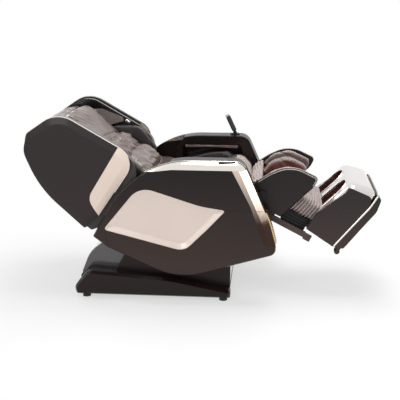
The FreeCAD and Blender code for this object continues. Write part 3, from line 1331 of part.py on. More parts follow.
def build_foot():
    """The sliding foot rest with its two wells."""
    outer = size("foot_outer")
    panel_in = outer - size("foot_panel_depth")
    unit = corners("foot_unit")
    panel_points = corners("foot_panel")
    sole_points = corners("sole")
    trim_width = size("foot_trim_width")
    proud = size("foot_trim_proud")
    wall = size("foot_wall")

    roller_room = Part.makeCylinder(size("sole_roller_radius") + 2 * face_gap, 2 * FAR,
                                    Vector(size("sole_roller_along"), -FAR,
                                           size("sole_roller_above")), upright_axis)
    sole = slab(sole_points, -outer, outer).cut(roller_room)
    trim_band = slab(grown(sole_points, trim_width), -outer - proud, outer + proud)
    trim_band = trim_band.cut(slab(grown(sole_points, 0.2), -FAR, FAR))
    trim = trim_band.common(slab(grown(unit, proud), -FAR, FAR))
    trim = trim.cut(slab(grown(unit, -3), -outer + 4, outer - 4))
    nodes.append(piece("foot_trim", trim, leg))

    panel = slab(panel_points, -outer, -panel_in).cut(trim_band)
    nodes.append(piece("foot_panels", both_sides(panel), leg))

    body = cushion(unit, soft_levels(-outer, outer, size("foot_shoulder"), size("foot_roll")))
    inside = panel_in - size("foot_side_wall")
    hollow = slab(grown(unit, -wall), -inside, inside)
    open_sole = slab(grown(sole_points, trim_width + 0.3), -FAR, FAR)
    cap = body.cut(hollow).cut(open_sole).cut(trim_band)
    side_room = slab(grown(panel_points, 0.3), -FAR, -panel_in + 0.3)
    cap = cap.cut(side_room).cut(other_side(side_room))
    under = block((0, -FAR, -FAR), (FAR, -panel_in, panel_points[0][1] + 100))
    cap = cap.cut(under).cut(other_side(under))
    well = stadium(size("well_half_width"))
    cap = cap.cut(both_sides(well))
    cap = max(cap.Solids, key=lambda solid: solid.Volume)
    nodes.append(piece("foot_cap", cap, leg))

    cavity = slab(grown(unit, -wall - 0.5), -inside + 0.5, inside - 0.5)
    cup = stadium(size("well_half_width") - 0.5).common(cavity)
    bottom = slab(grown(unit, -wall - 0.5 - size("well_wall")), -FAR, FAR)
    bottom = bottom.fuse(block((-FAR, -FAR, -FAR), (420, FAR, FAR)))
    bore = stadium(size("well_half_width") - 0.5 - size("well_wall")).common(bottom)
    cup = cup.cut(bore)
    axle_room = Part.makeCylinder(6.0, 2 * FAR, Vector(size("sole_roller_along"), -FAR,
                                                       size("sole_roller_above")), upright_axis)
    nodes.append(piece("foot_liners", both_sides(cup.cut(axle_room)), leg))

    rollers = []
    spot = (size("sole_roller_along"), size("sole_roller_above"))
    for sign in (-1, 1):
        rollers.append(rod(f"sole_drum_{'right' if sign < 0 else 'left'}",
                           (spot[0], sign * size("well_side"), spot[1]),
                           "sole_roller_length", "sole_roller_radius", leg))
    rollers.append(rod("sole_axle", (spot[0], 0, spot[1]), "sole_axle_length",
                       "wheel_axle_radius", leg))
    nodes.append(combined("Part::MultiFuse", "sole_roller", rollers))

    ears = []
    side = size("heel_roller_side")
    reach = size("heel_roller_length") / 2 + face_gap
    heel = (size("heel_roller_along"), size("heel_roller_above"))
    ear = size("heel_ear")
    for low_y in (-side - reach - ear, -side + reach):
        ears.append(block((heel[0] - 8, low_y, heel[1] - 8), (heel[0] + 8, low_y + ear, -40)))
    axle = Part.makeCylinder(size("wheel_axle_radius"), 2 * (reach + ear),
                             Vector(heel[0], -side - reach - ear, heel[1]), upright_axis)
    support = axle.fuse(ears)
    nodes.append(piece("foot_sole_cover", sole.fuse(both_sides(support)).removeSplitter(), leg))
    drum = Part.makeCylinder(size("heel_roller_radius"), size("heel_roller_length"),
                             Vector(heel[0], -side - reach + face_gap, heel[1]), upright_axis)
    drum = drum.cut(Part.makeCylinder(size("wheel_axle_radius") + size("running_gap"), 2 * FAR,
                                      Vector(heel[0], -FAR, heel[1]), upright_axis))
    nodes.append(piece("heel_roller_right", drum, leg))
    nodes.append(mirror_of("heel_roller_left", nodes[-1]))

    carriers = []
    middle = (size("carrier_start") + size("carrier_length") / 2, 0,
              size("carrier_low") + size("carrier_height") / 2)
    for hand, sign in (("right", -1), ("left", 1)):
        carriers.append(box(f"foot_carrier_{hand}",
                            (middle[0], sign * size("carrier_side"), middle[2]),
                            ("carrier_length", "carrier_width", "carrier_height"), leg))
    solid = combined("Part::Compound", "foot_carrier_bars", carriers)
    socket = piece("foot_carrier_room", slab(grown(unit, size("foot_gap")), -FAR, FAR), leg)
    nodes.append(less("foot_carrier", solid, socket))

    half = size("gusset_half")
    bellows = cushion(corners("foot_gusset"), soft_levels(-half, half, 4, 16))
    bellows = bellows.cut(slab(grown(unit, size("foot_gap")), -FAR, FAR))
    nodes.append(piece("foot_gusset", bellows, leg))


def stadium(half_width):
    """A prism the shape of one foot well's mouth, on the occupant's right."""
    side = size("well_side")
    low, high = size("well_low"), size("well_high")
    bend = half_width - 2
    points = [(-side - half_width, low, bend), (-side + half_width, low, bend),
              (-side + half_width, high, bend), (-side - half_width, high, bend)]
    return slab(points, 0, FAR, FRONT)


def check_and_export():
    """Refuse any failed object, then write one file for each sub-part."""
    doc.recompute()
    for item in doc.Objects:
        if {"Invalid", "Error"} & set(item.State):
            raise RuntimeError(f"{item.Label} failed: {item.State}")
    broken = [node.Label for node in nodes
              if node.Shape.isNull() or not node.Shape.isValid() or not node.Shape.Solids]
    if broken:
        raise RuntimeError(f"No valid shape: {broken}")
    os.makedirs("parts", exist_ok=True)
    for node in nodes:
        node.Shape.exportStep(f"parts/{node.Label}.step")
    reach = Part.makeCompound([node.Shape for node in nodes]).BoundBox
    print(f"{len(nodes)} sub-parts, {reach.XLength:.0f} x {reach.YLength:.0f} x "
          f"{reach.ZLength:.0f} mm, middle at x {reach.Center.x:.1f}")


build_base()
build_carriage()
build_seat()
build_arms()
build_controls()
build_back()
build_rollers()
build_leg()
build_foot()
check_and_export()
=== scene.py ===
"""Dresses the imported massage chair: its shells, leather pads, bright trims, floor and light.

Along is x, towards the feet; across is y, with the chair's right at minus; up is z. Shapes are
drawn in millimetres in three planes, see Stand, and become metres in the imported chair's frame.
"""

import json
import logging
from dataclasses import dataclass
from enum import Enum
from functools import cached_property
from typing import Callable, Sequence

import bmesh
import bpy
import numpy as np
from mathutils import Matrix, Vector


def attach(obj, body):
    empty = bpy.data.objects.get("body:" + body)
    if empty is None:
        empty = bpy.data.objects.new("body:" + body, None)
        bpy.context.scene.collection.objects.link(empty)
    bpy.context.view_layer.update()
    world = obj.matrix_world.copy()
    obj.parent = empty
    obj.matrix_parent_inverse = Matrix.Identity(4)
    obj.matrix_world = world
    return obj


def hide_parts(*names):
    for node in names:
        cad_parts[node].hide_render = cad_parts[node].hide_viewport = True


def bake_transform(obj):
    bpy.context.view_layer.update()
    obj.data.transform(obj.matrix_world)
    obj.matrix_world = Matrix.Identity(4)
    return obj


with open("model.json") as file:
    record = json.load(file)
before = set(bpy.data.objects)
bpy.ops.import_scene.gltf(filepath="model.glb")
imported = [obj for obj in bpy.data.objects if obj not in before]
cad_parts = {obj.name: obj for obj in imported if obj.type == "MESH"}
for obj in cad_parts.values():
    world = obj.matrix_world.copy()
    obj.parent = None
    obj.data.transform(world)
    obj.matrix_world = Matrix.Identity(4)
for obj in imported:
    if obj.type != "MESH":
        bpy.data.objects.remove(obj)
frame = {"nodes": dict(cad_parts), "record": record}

log = logging.getLogger("massage_chair")

Array = np.ndarray
Colour = tuple[float, float, float]
Place = tuple[float, float]
Corner = tuple[float, float, float]

MM = 0.001
TOUCH = 1e-6
# How far the side profiles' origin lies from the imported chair's middle, in millimetres.
SHIFT = -24.1
SIDES = (-1.0, 1.0)


def paint(red: int, green: int, blue: int) -> Colour:
    """Turns a screen colour into the linear light that shaders use.

    Args:
        red, green, blue: the colour as a screen shows it, each 0 to 255.

    Returns:
        The three linear values, by the sRGB curve.
    """
    share = np.array((red, green, blue)) / 255
    linear = np.where(share <= 0.04045, share / 12.92, ((share + 0.055) / 1.055) ** 2.4)
    return tuple(float(value) for value in linear)


# ---------------------------------------------------------------------------------------
# Shaders
# ---------------------------------------------------------------------------------------


class Value:
    """A number or colour that the shader works out, combined by Python's operators."""

    def __init__(self, bench: "Bench", socket: bpy.types.NodeSocket) -> None:
        """Wraps one output socket of a node on the bench."""
        self.bench = bench
        self.socket = socket

    def __add__(self, other: "Value | float") -> "Value":
        """Self plus other."""
        return self.bench.math("ADD", self, other)

    __radd__ = __add__

    def __sub__(self, other: "Value | float") -> "Value":
        """Self minus other."""
        return self.bench.math("SUBTRACT", self, other)

    def __rsub__(self, other: float) -> "Value":
        """Other minus self."""
        return self.bench.math("SUBTRACT", other, self)

    def __mul__(self, other: "Value | float") -> "Value":
        """Self times other."""
        return self.bench.math("MULTIPLY", self, other)

    __rmul__ = __mul__

    def __abs__(self) -> "Value":
        """Self without its sign."""
        return self.bench.math("ABSOLUTE", self)

    def wave(self) -> "Value":
        """The sine of self, from -1 to 1."""
        return self.bench.math("SINE", self)

    def capped(self, low: float = 0.0, high: float = 1.0) -> "Value":
        """Self kept between low and high."""
        return self.bench.math("MINIMUM", self.bench.math("MAXIMUM", self, low), high)

    def step(self, low: float, high: float) -> "Value":
        """0 at low, 1 at high, and a straight slope between them."""
        return ((self - low) * (1 / (high - low))).capped()


class Bench:
    """The node tree of one material or sky, with one method for each kind of node it needs."""

    def __init__(self, tree: bpy.types.NodeTree) -> None:
        """Starts on a tree that has its shader and output."""
        self.tree = tree

    @cached_property
    def where(self) -> Value:
        """The point's place in its own object, in metres."""
        return self.out("ShaderNodeTexCoord", {}, {}, "Object")

    def feed(self, socket: bpy.types.NodeSocket, value: object) -> None:
        """Links a value to a socket, or sets a plain number or colour there.

        Args:
            socket: an input of a node on this bench.
            value: what goes into it.
        """
        if isinstance(value, Value):
            self.tree.links.new(value.socket, socket)
        elif isinstance(value, tuple) and len(value) == 3 and socket.type == "RGBA":
            socket.default_value = (*value, 1.0)
        else:
            socket.default_value = value

    def node(self, kind: str, settings: dict[str, object],
             inputs: dict[object, object]) -> bpy.types.Node:
        """Adds a node.

        Args:
            kind: Blender's type name of the node.
            settings: what is set on the node itself, before its sockets.
            inputs: a value or link for each socket, by name or number.

        Returns:
            The new node.
        """
        made = self.tree.nodes.new(kind)
        for name, value in settings.items():
            setattr(made, name, value)
        for key, value in inputs.items():
            self.feed(made.inputs[key], value)
        return made

    def out(self, kind: str, settings: dict[str, object], inputs: dict[object, object],
            output: object = 0) -> Value:
        """Adds a node and wraps the output that is asked for."""
        return Value(self, self.node(kind, settings, inputs).outputs[output])

    def math(self, operation: str, *operands: "Value | float") -> Value:
        """Adds one Math node on the operands."""
        return self.out("ShaderNodeMath", {"operation": operation}, dict(enumerate(operands)))

    def mix(self, share: "Value | float", first: "Value | Colour",
            second: "Value | Colour") -> Value:
        """Blends two colours: the first where share is 0, the second where it is 1."""
        return self.out("ShaderNodeMix", {"data_type": "RGBA"},
                        {0: share, 6: first, 7: second}, 2)

    def noise(self, size: float, detail: float = 2.0, stretch: Corner = (1, 1, 1)) -> Value:
        """Cloudy noise from 0 to 1.

        Args:
            size: how wide one cloud is, in millimetres.
            detail: how many finer layers it has.
            stretch: how much denser it is along each axis.

        Returns:
            The noise at each point.
        """
        placed = self.out("ShaderNodeMapping", {}, {"Vector": self.where, "Scale": stretch})
        return self.out("ShaderNodeTexNoise", {},
                        {"Vector": placed, "Scale": 1 / (size * MM), "Detail": detail})

    def cells(self, size: float, feature: str = "DISTANCE_TO_EDGE", spread: float = 1.0,
              output: str = "Distance") -> Value:
        """Voronoi cells.

        Args:
            size: how wide one cell is, in millimetres.
            feature: what is measured, in Blender's words.
            spread: how irregular the cells are, from 0 to 1.
            output: which output of the node is wanted.

        Returns:
            That output at each point.
        """
        return self.out("ShaderNodeTexVoronoi", {"feature": feature},
                        {"Vector": self.where, "Scale": 1 / (size * MM), "Randomness": spread},
                        output)

    def axes(self) -> tuple[Value, Value, Value]:
        """The point's own x, y and z, in metres."""
        parts = self.node("ShaderNodeSeparateXYZ", {}, {0: self.where})
        return tuple(Value(self, socket) for socket in parts.outputs)

    def bump(self, height: Value, depth: float) -> Value:
        """A normal that follows a height from 0 to 1, as deep as depth in millimetres."""
        return self.out("ShaderNodeBump", {}, {"Height": height, "Distance": depth * MM})

    def seen(self) -> Value:
        """1 for rays from the camera, a mirror or glass, else 0.

        Returns:
            The largest of the three light path values.
        """
        path = self.node("ShaderNodeLightPath", {}, {})
        total = Value(self, path.outputs["Is Camera Ray"])
        for name in ("Is Glossy Ray", "Is Transmission Ray"):
            total = self.math("MAXIMUM", total, Value(self, path.outputs[name]))
        return total

    def cover(self, share: Value, first: Value, second: Value, output: str) -> None:
        """Sends two shaders, the second as strong as share, to the tree's output node."""
        both = self.out("ShaderNodeMixShader", {}, {0: share, 1: first, 2: second})
        self.feed(self.tree.nodes[output].inputs["Surface"], both)

    def finish(self, **inputs: object) -> None:
        """Feeds the Principled shader, its sockets named with underscores for spaces.

        Args:
            inputs: the value or link of each socket.
        """
        shader = self.tree.nodes["Principled BSDF"]
        for name, value in inputs.items():
            self.feed(shader.inputs[name.replace("_", " ")], value)


@dataclass(frozen=True)
class Finish:
    """What a surface is made of. Pattern sizes are in millimetres, heights in metres."""

    name: str
    colour: Colour

    def material(self) -> bpy.types.Material:
        """The finish's material, made the first time that it is asked for.

        Returns:
            The material.
        """
        made = bpy.data.materials.get(self.name)
        if made is None:
            made = bpy.data.materials.new(self.name)
            made.use_nodes = True
            self.dress(Bench(made.node_tree))
        return made

    def dress(self, bench: Bench) -> None:
        """Builds the shader on the bench."""
        raise NotImplementedError

    def shade(self, factor: float) -> Colour:
        """The finish's colour, made lighter or darker."""
        return tuple(min(1.0, channel * factor) for channel in self.colour)


@dataclass(frozen=True)
class Moulded(Finish):
    """Painted or moulded plastic: faint spark, a fine skin, and rubbed places."""

    roughness: float = 0.34
    coat: float = 0.25
    skin: float = 0.03
    shine: float = 0.5
    top: Colour | None = None
    low: float = 0.2
    high: float = 0.8
    drift: float = 0.12
    spark: float = 0.1
    wear: float = 0.05
    cloud_size: float = 260.0
    rub_size: float = 38.0
    speck_size: float = 1.1

    def dress(self, bench: Bench) -> None:
        """Colour drifts by a few percent, specks glint, and rubbed places are smoother.

        Where there is a top colour, the colour darkens to it from height low to height high; on
        the arm shell this darker top is painted shade, standing for a dark studio reflected there.

        Args:
            bench: where the shader's nodes go.
        """
        clouds = bench.noise(self.cloud_size, 3)
        rubbed = bench.noise(self.rub_size, 4).step(0.45, 0.7)
        specks = bench.cells(self.speck_size, "F1").step(0.5, 0.1)
        base = bench.mix(clouds, self.shade(1 - self.drift), self.shade(1 + self.drift))
        if self.top is not None:
            # Darker towards the top colour higher up; on the arm shell this is painted shade.
            base = bench.mix(bench.axes()[2].step(self.low, self.high), base, self.top)
        base = bench.mix(specks * self.spark, base, self.shade(2.0))
        roughness = self.roughness + self.wear * rubbed + self.wear * bench.noise(4, 3)
        normal = bench.bump(bench.noise(1.6, 3) * 0.6 + bench.noise(30, 2) * 0.4, self.skin)
        bench.finish(Base_Color=base, Roughness=roughness, Normal=normal,
                     Coat_Weight=self.coat, Coat_Roughness=0.12,
                     Specular_IOR_Level=self.shine)


@dataclass(frozen=True)
class Pearl(Finish):
    """Pearl lacquer: fine metal flake under a clear coat."""

    metal: float = 0.35
    roughness: float = 0.3
    flake_size: float = 0.9
    flake_share: float = 0.3
    sheen_size: float = 190.0
    sheen_share: float = 0.35

    def dress(self, bench: Bench) -> None:
        """Each flake is a cell with its own brightness, under a smooth coat.

        Args:
            bench: where the shader's nodes go.
        """
        flakes = bench.cells(self.flake_size, "F1", 1.0, "Color")
        flake = bench.out("ShaderNodeSeparateColor", {}, {0: flakes})
        sheen = bench.noise(self.sheen_size, 2)
        base = bench.mix(flake * self.flake_share, self.colour, self.shade(1.35))
        base = bench.mix(sheen * self.sheen_share, base, self.shade(0.82))
        bench.finish(Base_Color=base, Metallic=self.metal,
                     Roughness=self.roughness + 0.14 * flake,
                     Normal=bench.bump(flake, 0.006), Coat_Weight=0.7,
                     Coat_Roughness=0.06)


@dataclass(frozen=True)
class Bright(Finish):
    """Metallised or plated trim: nearly a mirror, with hairlines and handling marks."""

    roughness: float = 0.14
    metal: float = 1.0
    foot: Colour | None = None
    low: float = 0.0
    high: float = 1.0
    hair_size: float = 0.9
    mark_size: float = 22.0
    cloud_size: float = 120.0

    def dress(self, bench: Bench) -> None:
        """The colour may darken from height high down to height low, both in metres; on the bronze
        strip the light upper colour is a painted highlight over the dark bronze below.

        Args:
            bench: where the shader's nodes go.
        """
        hairs = bench.noise(self.hair_size, 3, (1, 1, 7))
        marks = bench.noise(self.mark_size, 5).step(0.5, 0.75)
        base = bench.mix(bench.noise(self.cloud_size, 2) * 0.3, self.colour, self.shade(0.8))
        if self.foot is not None:
            # Light above, foot colour below: on the bronze strip the light part is a painted
            # highlight.
            base = bench.mix(bench.axes()[2].step(self.low, self.high), self.foot, base)
        bench.finish(Base_Color=base, Metallic=self.metal,
                     Roughness=self.roughness + 0.08 * marks + 0.05 * hairs,
                     Normal=bench.bump(hairs, 0.004), Coat_Weight=0.3,
                     Coat_Roughness=0.05)


@dataclass(frozen=True)
class Leather(Finish):
    """Soft leather: pebbled grain, pores, creases and a little wear on the high places, with
    painted shade darkening the grain's valleys and the creases.
    """

    grain: float = 1.5
    crease: float = 0.7
    roughness: float = 0.4
    coat: float = 0.12
    crease_size: float = 34.0
    worn_size: float = 70.0
    patch_size: float = 210.0

    def dress(self, bench: Bench) -> None:
        """Pebbles are cells with sunk edges; creases run where noise is at its middle.

        Args:
            bench: where the shader's nodes go.
        """
        pebble = bench.cells(self.grain).step(0.02, 0.3)
        fine = bench.noise(self.grain * 0.5, 3)
        crease = abs(bench.noise(self.crease_size, 4, (1, 0.5, 1)) - 0.5).step(0.0, 0.05)
        worn = bench.noise(self.worn_size, 4).step(0.42, 0.68)
        patch = bench.noise(self.patch_size, 2)
        base = bench.mix(patch, self.shade(0.84), self.shade(1.12))
        base = bench.mix(worn * 0.3, base, self.shade(1.35))
        # Painted shade: the grain's sunk edges and the creases are darkened.
        base = bench.mix((1 - pebble) * 0.4 + (1 - crease) * 0.3, base, self.shade(0.55))
        height = pebble * 0.22 + fine * 0.08 + crease * self.crease
        bench.finish(Base_Color=base, Normal=bench.bump(height, 0.8),
                     Roughness=self.roughness + 0.12 * fine - 0.08 * worn,
                     Coat_Weight=self.coat, Coat_Roughness=0.25)


@dataclass(frozen=True)
class Embossed(Finish):
    """Woven fabric with a raised net of small cells."""

    pitch: float = 10.0
    depth: float = 2.2
    twist_size: float = 0.8
    patch_size: float = 90.0

    def dress(self, bench: Bench) -> None:
        """Raised threads run where two cells meet, and each thread has its own fine twist; painted
        light makes the threads lighter and painted shade makes the hollows between them darker.

        Args:
            bench: where the shader's nodes go.
        """
        thread = 1 - bench.cells(self.pitch, "DISTANCE_TO_EDGE", 0.35).step(0.04, 0.26)
        twist = bench.noise(self.twist_size, 2)
        patch = bench.noise(self.patch_size, 3)
        # Painted light and shade: the raised threads lighter, the hollows between them darker.
        base = bench.mix(thread, self.shade(0.42), self.shade(1.3))
        base = bench.mix(patch * 0.3, base, self.shade(0.8))
        bench.finish(Base_Color=base, Roughness=0.78 + 0.12 * twist,
                     Normal=bench.bump(thread * 0.85 + twist * 0.15, self.depth),
                     Sheen_Weight=0.25, Sheen_Roughness=0.4)


@dataclass(frozen=True)
class Satin(Finish):
    """Thin pleated lining cloth: a fine weave with a silky light on its folds."""

    roughness: float = 0.42
    thread_rate: float = 2400.0
    patch_size: float = 60.0

    def dress(self, bench: Bench) -> None:
        """Warp and weft are two crossed waves; light patches follow the folds' noise.

        Args:
            bench: where the shader's nodes go.
        """
        across, along, up = bench.axes()
        rate = self.thread_rate
        weave = ((across + up) * rate).wave() * (along * rate).wave() * 0.5 + 0.5
        patch = bench.noise(self.patch_size, 3, (1, 0.3, 1))
        base = bench.mix(patch, self.shade(0.72), self.shade(1.2))
        base = bench.mix(weave * 0.2, base, self.shade(0.7))
        bench.finish(Base_Color=base, Roughness=self.roughness + 0.15 * patch,
                     Normal=bench.bump(weave, 0.15), Metallic=0.15,
                     Sheen_Weight=0.4, Sheen_Roughness=0.35)


@dataclass(frozen=True)
class Perforated(Finish):
    """A sheet of punched metal: round dark holes in rows."""

    pitch: float = 7.0
    hole_colour: Colour = (0.002, 0.002, 0.002)

    def dress(self, bench: Bench) -> None:
        """Holes lie where the product of two waves, crossed at 45 degrees, is high.

        Args:
            bench: where the shader's nodes go.
        """
        across, _, up = bench.axes()
        rate = 2 * np.pi / (self.pitch * MM)
        hole = (((across + up) * rate).wave() * ((across - up) * rate).wave()).step(-0.05, 0.3)
        base = bench.mix(hole, self.colour, self.hole_colour)
        bench.finish(Base_Color=base, Metallic=0.7 - 0.7 * hole,
                     Roughness=0.32 + 0.4 * hole, Normal=bench.bump(1 - hole, 0.6))


@dataclass(frozen=True)
class Rubber(Finish):
    """Black rubber: matt, dusty and slightly pitted."""

    dust_size: float = 9.0
    pit_size: float = 0.7

    def dress(self, bench: Bench) -> None:
        """Dust lightens the raised noise; small pits come from a finer one.

        Args:
            bench: where the shader's nodes go.
        """
        dust = bench.noise(self.dust_size, 5).step(0.45, 0.75)
        pits = bench.noise(self.pit_size, 3)
        bench.finish(Base_Color=bench.mix(dust * 0.35, self.colour, self.shade(3.0)),
                     Roughness=0.62 + 0.2 * dust, Normal=bench.bump(pits, 0.12))


@dataclass(frozen=True)
class Steel(Finish):
    """Structural steel, painted or bare, with brushed lines and worn paint."""

    metal: float = 1.0
    roughness: float = 0.3
    line_size: float = 1.2
    chip_size: float = 14.0

    def dress(self, bench: Bench) -> None:
        """Lines run along x; small chips in the paint show brighter metal.

        Args:
            bench: where the shader's nodes go.
        """
        lines = bench.noise(self.line_size, 3, (0.06, 1, 1))
        chips = bench.noise(self.chip_size, 6).step(0.66, 0.7)
        base = bench.mix(lines * 0.4, self.colour, self.shade(0.7))
        base = bench.mix(chips * 0.6, base, self.shade(2.0))
        bench.finish(Base_Color=base, Metallic=self.metal,
                     Roughness=self.roughness + 0.2 * lines,
                     Normal=bench.bump(lines + chips * 0.4, 0.05))


class Finishes(Enum):
    """Every finish on the chair."""

    SHELL = Moulded("satin_brown_shell", paint(50, 39, 39), 0.3, 0.1, 0.03, 0.22,
                    paint(40, 32, 33), 0.3, 0.85)
    # The arm shell's darker top colour is painted shade: its upper part darkened as if it
    # reflected a dark studio.
    ARM = Moulded("dark_brown_arm_shell", paint(58, 44, 40), 0.3, 0.12, 0.03, 0.2,
                  paint(16, 9, 7), 0.22, 0.72)
    BASE = Moulded("brown_base_cover", paint(30, 19, 17), 0.34, 0.1, 0.03, 0.2)
    CALF = Moulded("dark_calf_shell", paint(38, 27, 26), 0.3, 0.15, 0.03, 0.22,
                   paint(18, 11, 10), 0.45, 0.7)
    FOOT = Moulded("brown_foot_shell", paint(54, 38, 34), 0.24, 0.3, 0.02, 0.25,
                   paint(28, 17, 15), 0.3, 0.55)
    HOOD = Moulded("dark_arm_top", paint(26, 18, 17), 0.25, 0.2, 0.02, 0.2)
    PLASTIC = Moulded("black_moulding", paint(16, 13, 14), 0.42, 0.02, 0.06, 0.25)
    BLACK_GLOSS = Moulded("gloss_black_moulding", paint(8, 7, 8), 0.1, 0.5, 0.01, 0.3)
    GREY_GLOSS = Moulded("gloss_grey_cover", paint(70, 66, 69), 0.1, 0.9, 0.01)
    GLASS = Moulded("black_screen_glass", paint(6, 6, 8), 0.05, 0.6, 0.004, 0.3)
    PEARL = Pearl("pearl_beige_lacquer", paint(226, 208, 198), 0.25)
    BACK_PEARL = Pearl("pearl_champagne_lacquer", paint(232, 212, 198), 0.35)
    CHAMPAGNE = Bright("champagne_plating", paint(232, 226, 218), 0.16)
    # The bronze strip's light colour is a painted highlight; its foot colour, the dark bronze,
    # shows lower down.
    BRONZE = Bright("bronze_plating", paint(214, 196, 182), 0.16, 0.9,
                    paint(52, 30, 20), 0.46, 0.72)
    GOLD = Bright("gold_vent_plating", paint(226, 200, 150), 0.2)
    SILVER = Bright("silver_gloss_cap", paint(214, 208, 208), 0.1, 0.75)
    LEATHER = Leather("taupe_leather", paint(104, 87, 82), 1.5, 0.8, 0.3, 0.35)
    DARK_LEATHER = Leather("dark_brown_leather", paint(34, 23, 23), 1.5, 0.5, 0.3, 0.2)
    RED_LEATHER = Leather("red_brown_leather", paint(96, 46, 36), 1.5, 0.5, 0.3, 0.25)
    PIPING = Leather("pale_piping", paint(186, 176, 172), 0.8, 0.2, 0.36)
    THREAD = Leather("pale_thread", paint(214, 206, 200), 0.4, 0.1, 0.5)
    NET = Embossed("embossed_taupe_fabric", paint(176, 160, 150))
    PLEATED = Satin("silver_taupe_lining", paint(168, 154, 150))
    GRILLE = Perforated("punched_speaker_sheet", paint(156, 146, 140))
    RUBBER = Rubber("black_rubber", paint(14, 14, 14))
    STEEL_BLACK = Steel("black_painted_steel", paint(24, 22, 23), 0.3, 0.4)
    STEEL = Steel("bright_steel", paint(186, 186, 190))
    LEG_BAR = Moulded("brown_grey_bar_cover", paint(74, 60, 57), 0.4, 0.1, 0.03, 0.3)


SLOT_FINISH: dict[str, Finishes] = {
    "shell_brown": Finishes.SHELL, "insert_pearl": Finishes.PEARL,
    "champagne": Finishes.CHAMPAGNE, "bronze": Finishes.BRONZE,
    "black_gloss": Finishes.BLACK_GLOSS, "black_plastic": Finishes.PLASTIC,
    "grey_gloss": Finishes.GREY_GLOSS, "base_brown": Finishes.BASE,
    "steel_black": Finishes.STEEL_BLACK, "steel_bright": Finishes.STEEL,
    "rubber": Finishes.RUBBER, "leather_taupe": Finishes.LEATHER,
    "leather_dark": Finishes.DARK_LEATHER, "leather_red": Finishes.RED_LEATHER,
    "fabric_taupe": Finishes.NET, "fabric_dark": Finishes.PLEATED,
    "silver_gloss": Finishes.SILVER, "mesh": Finishes.GRILLE, "glass_black": Finishes.GLASS,
}

NODE_FINISH: dict[str, Finishes] = {
    "arm_panel_right": Finishes.ARM, "arm_panel_left": Finishes.ARM,
    "back_inserts": Finishes.BACK_PEARL, "arm_vents": Finishes.GOLD,
    "calf_panels": Finishes.CALF, "foot_panels": Finishes.FOOT,
    "foot_sole_cover": Finishes.FOOT, "leg_frame": Finishes.LEG_BAR,
    "arm_liners": Finishes.HOOD,
}


# ---------------------------------------------------------------------------------------
# Shapes
# ---------------------------------------------------------------------------------------


class Stand(Enum):
    """The planes that the side profiles are drawn in: origin x and z in mm, turn in degrees."""

    CHAIR = (0.0, 0.0, 0.0)
    BACK = (-480.0, 400.0, 60.0)
    LEG = (305.0, 575.0, -27.5)

    def world(self, points: Array) -> Array:
        """Moves points from this plane to the chair.

        x = x0 + along cos(turn) - up sin(turn), z = z0 + along sin(turn) + up cos(turn).

        Args:
            points: (..., 3) along, across and up, in millimetres.

        Returns:
            The same points in metres in the chair's frame.
        """
        x0, z0, degrees = self.value
        turn = np.radians(degrees)
        along, across, up = points[..., 0], points[..., 1], points[..., 2]
        return MM * np.stack((x0 + SHIFT + along * np.cos(turn) - up * np.sin(turn), across,
                              z0 + along * np.sin(turn) + up * np.cos(turn)), axis=-1)


def unit(vectors: Array) -> Array:
    """The vectors at length 1."""
    return vectors / np.maximum(np.linalg.norm(vectors, axis=-1, keepdims=True), 1e-9)


def evenly(points: Array, count: int, closed: bool = True) -> Array:
    """Walks along a line and drops points at even steps.

    Args:
        points: (N, D) the line's points.
        count: how many points to drop.
        closed: whether the line comes back to its start.

    Returns:
        (count, D) points at equal distances along the line.
    """
    line = np.concatenate((points, points[:1])) if closed else points
    travelled = np.concatenate(([0.0], np.cumsum(np.linalg.norm(np.diff(line, axis=0), axis=1))))
    wanted = np.linspace(0, travelled[-1], count, endpoint=not closed)
    return np.stack([np.interp(wanted, travelled, line[:, axis])
                     for axis in range(line.shape[1])], axis=1)


@dataclass(frozen=True)
class Outline:
    """A closed side profile: each corner's place and the radius of its bend, in millimetres."""

    corners: tuple[Corner, ...]

    def points(self, spacing: float = 5.0) -> Array:
        """Rounds the corners off and samples the line.

        A bend of radius r at a corner of half angle h starts r / tan(h) from the corner, and
        its centre lies r / sin(h) along the corner's bisector.

        Args:
            spacing: the distance between points, in millimetres.

        Returns:
            (N, 2) points, anticlockwise.
        """
        spots = np.array(self.corners, float)
        place, bend = spots[:, :2], spots[:, 2]
        back = unit(np.roll(place, 1, 0) - place)
        ahead = np.roll(place, -1, 0) - place
        span = np.linalg.norm(ahead, axis=1)
        ahead = unit(ahead)
        half = np.arccos(np.clip((back * ahead).sum(1), -1, 1)) / 2
        reach = bend / np.tan(half)
        room = np.minimum(1, 0.98 * span / np.maximum(reach + np.roll(reach, -1), 1e-9))
        reach = reach * np.minimum(room, np.roll(room, 1))
        radius = reach * np.tan(half)
        centre = place + unit(back + ahead) * (radius / np.sin(half))[:, None]
        start, end = place + back * reach[:, None], place + ahead * reach[:, None]
        parts = []
        for index in range(len(place)):
            first, last = start[index] - centre[index], end[index] - centre[index]
            angle = np.arctan2(first[1], first[0])
            sweep = np.arctan2(first[0] * last[1] - first[1] * last[0], first @ last)
            steps = max(1, int(np.ceil(abs(sweep) * radius[index] / spacing)))
            turns = angle + sweep * np.linspace(0, 1, steps + 1)
            bend_line = np.stack((np.cos(turns), np.sin(turns)), axis=1)
            parts.append(centre[index] + radius[index] * bend_line)
            following = start[(index + 1) % len(place)]
            steps = max(1, int(np.ceil(np.linalg.norm(following - end[index]) / spacing)))
            shares = np.linspace(0, 1, steps + 1)[1:-1, None]
            parts.append(end[index] + (following - end[index]) * shares)
        line = np.concatenate(parts)
        ahead = np.roll(line, -1, 0)
        area = (line[:, 0] * ahead[:, 1] - line[:, 1] * ahead[:, 0]).sum()
        return line if area > 0 else line[::-1]


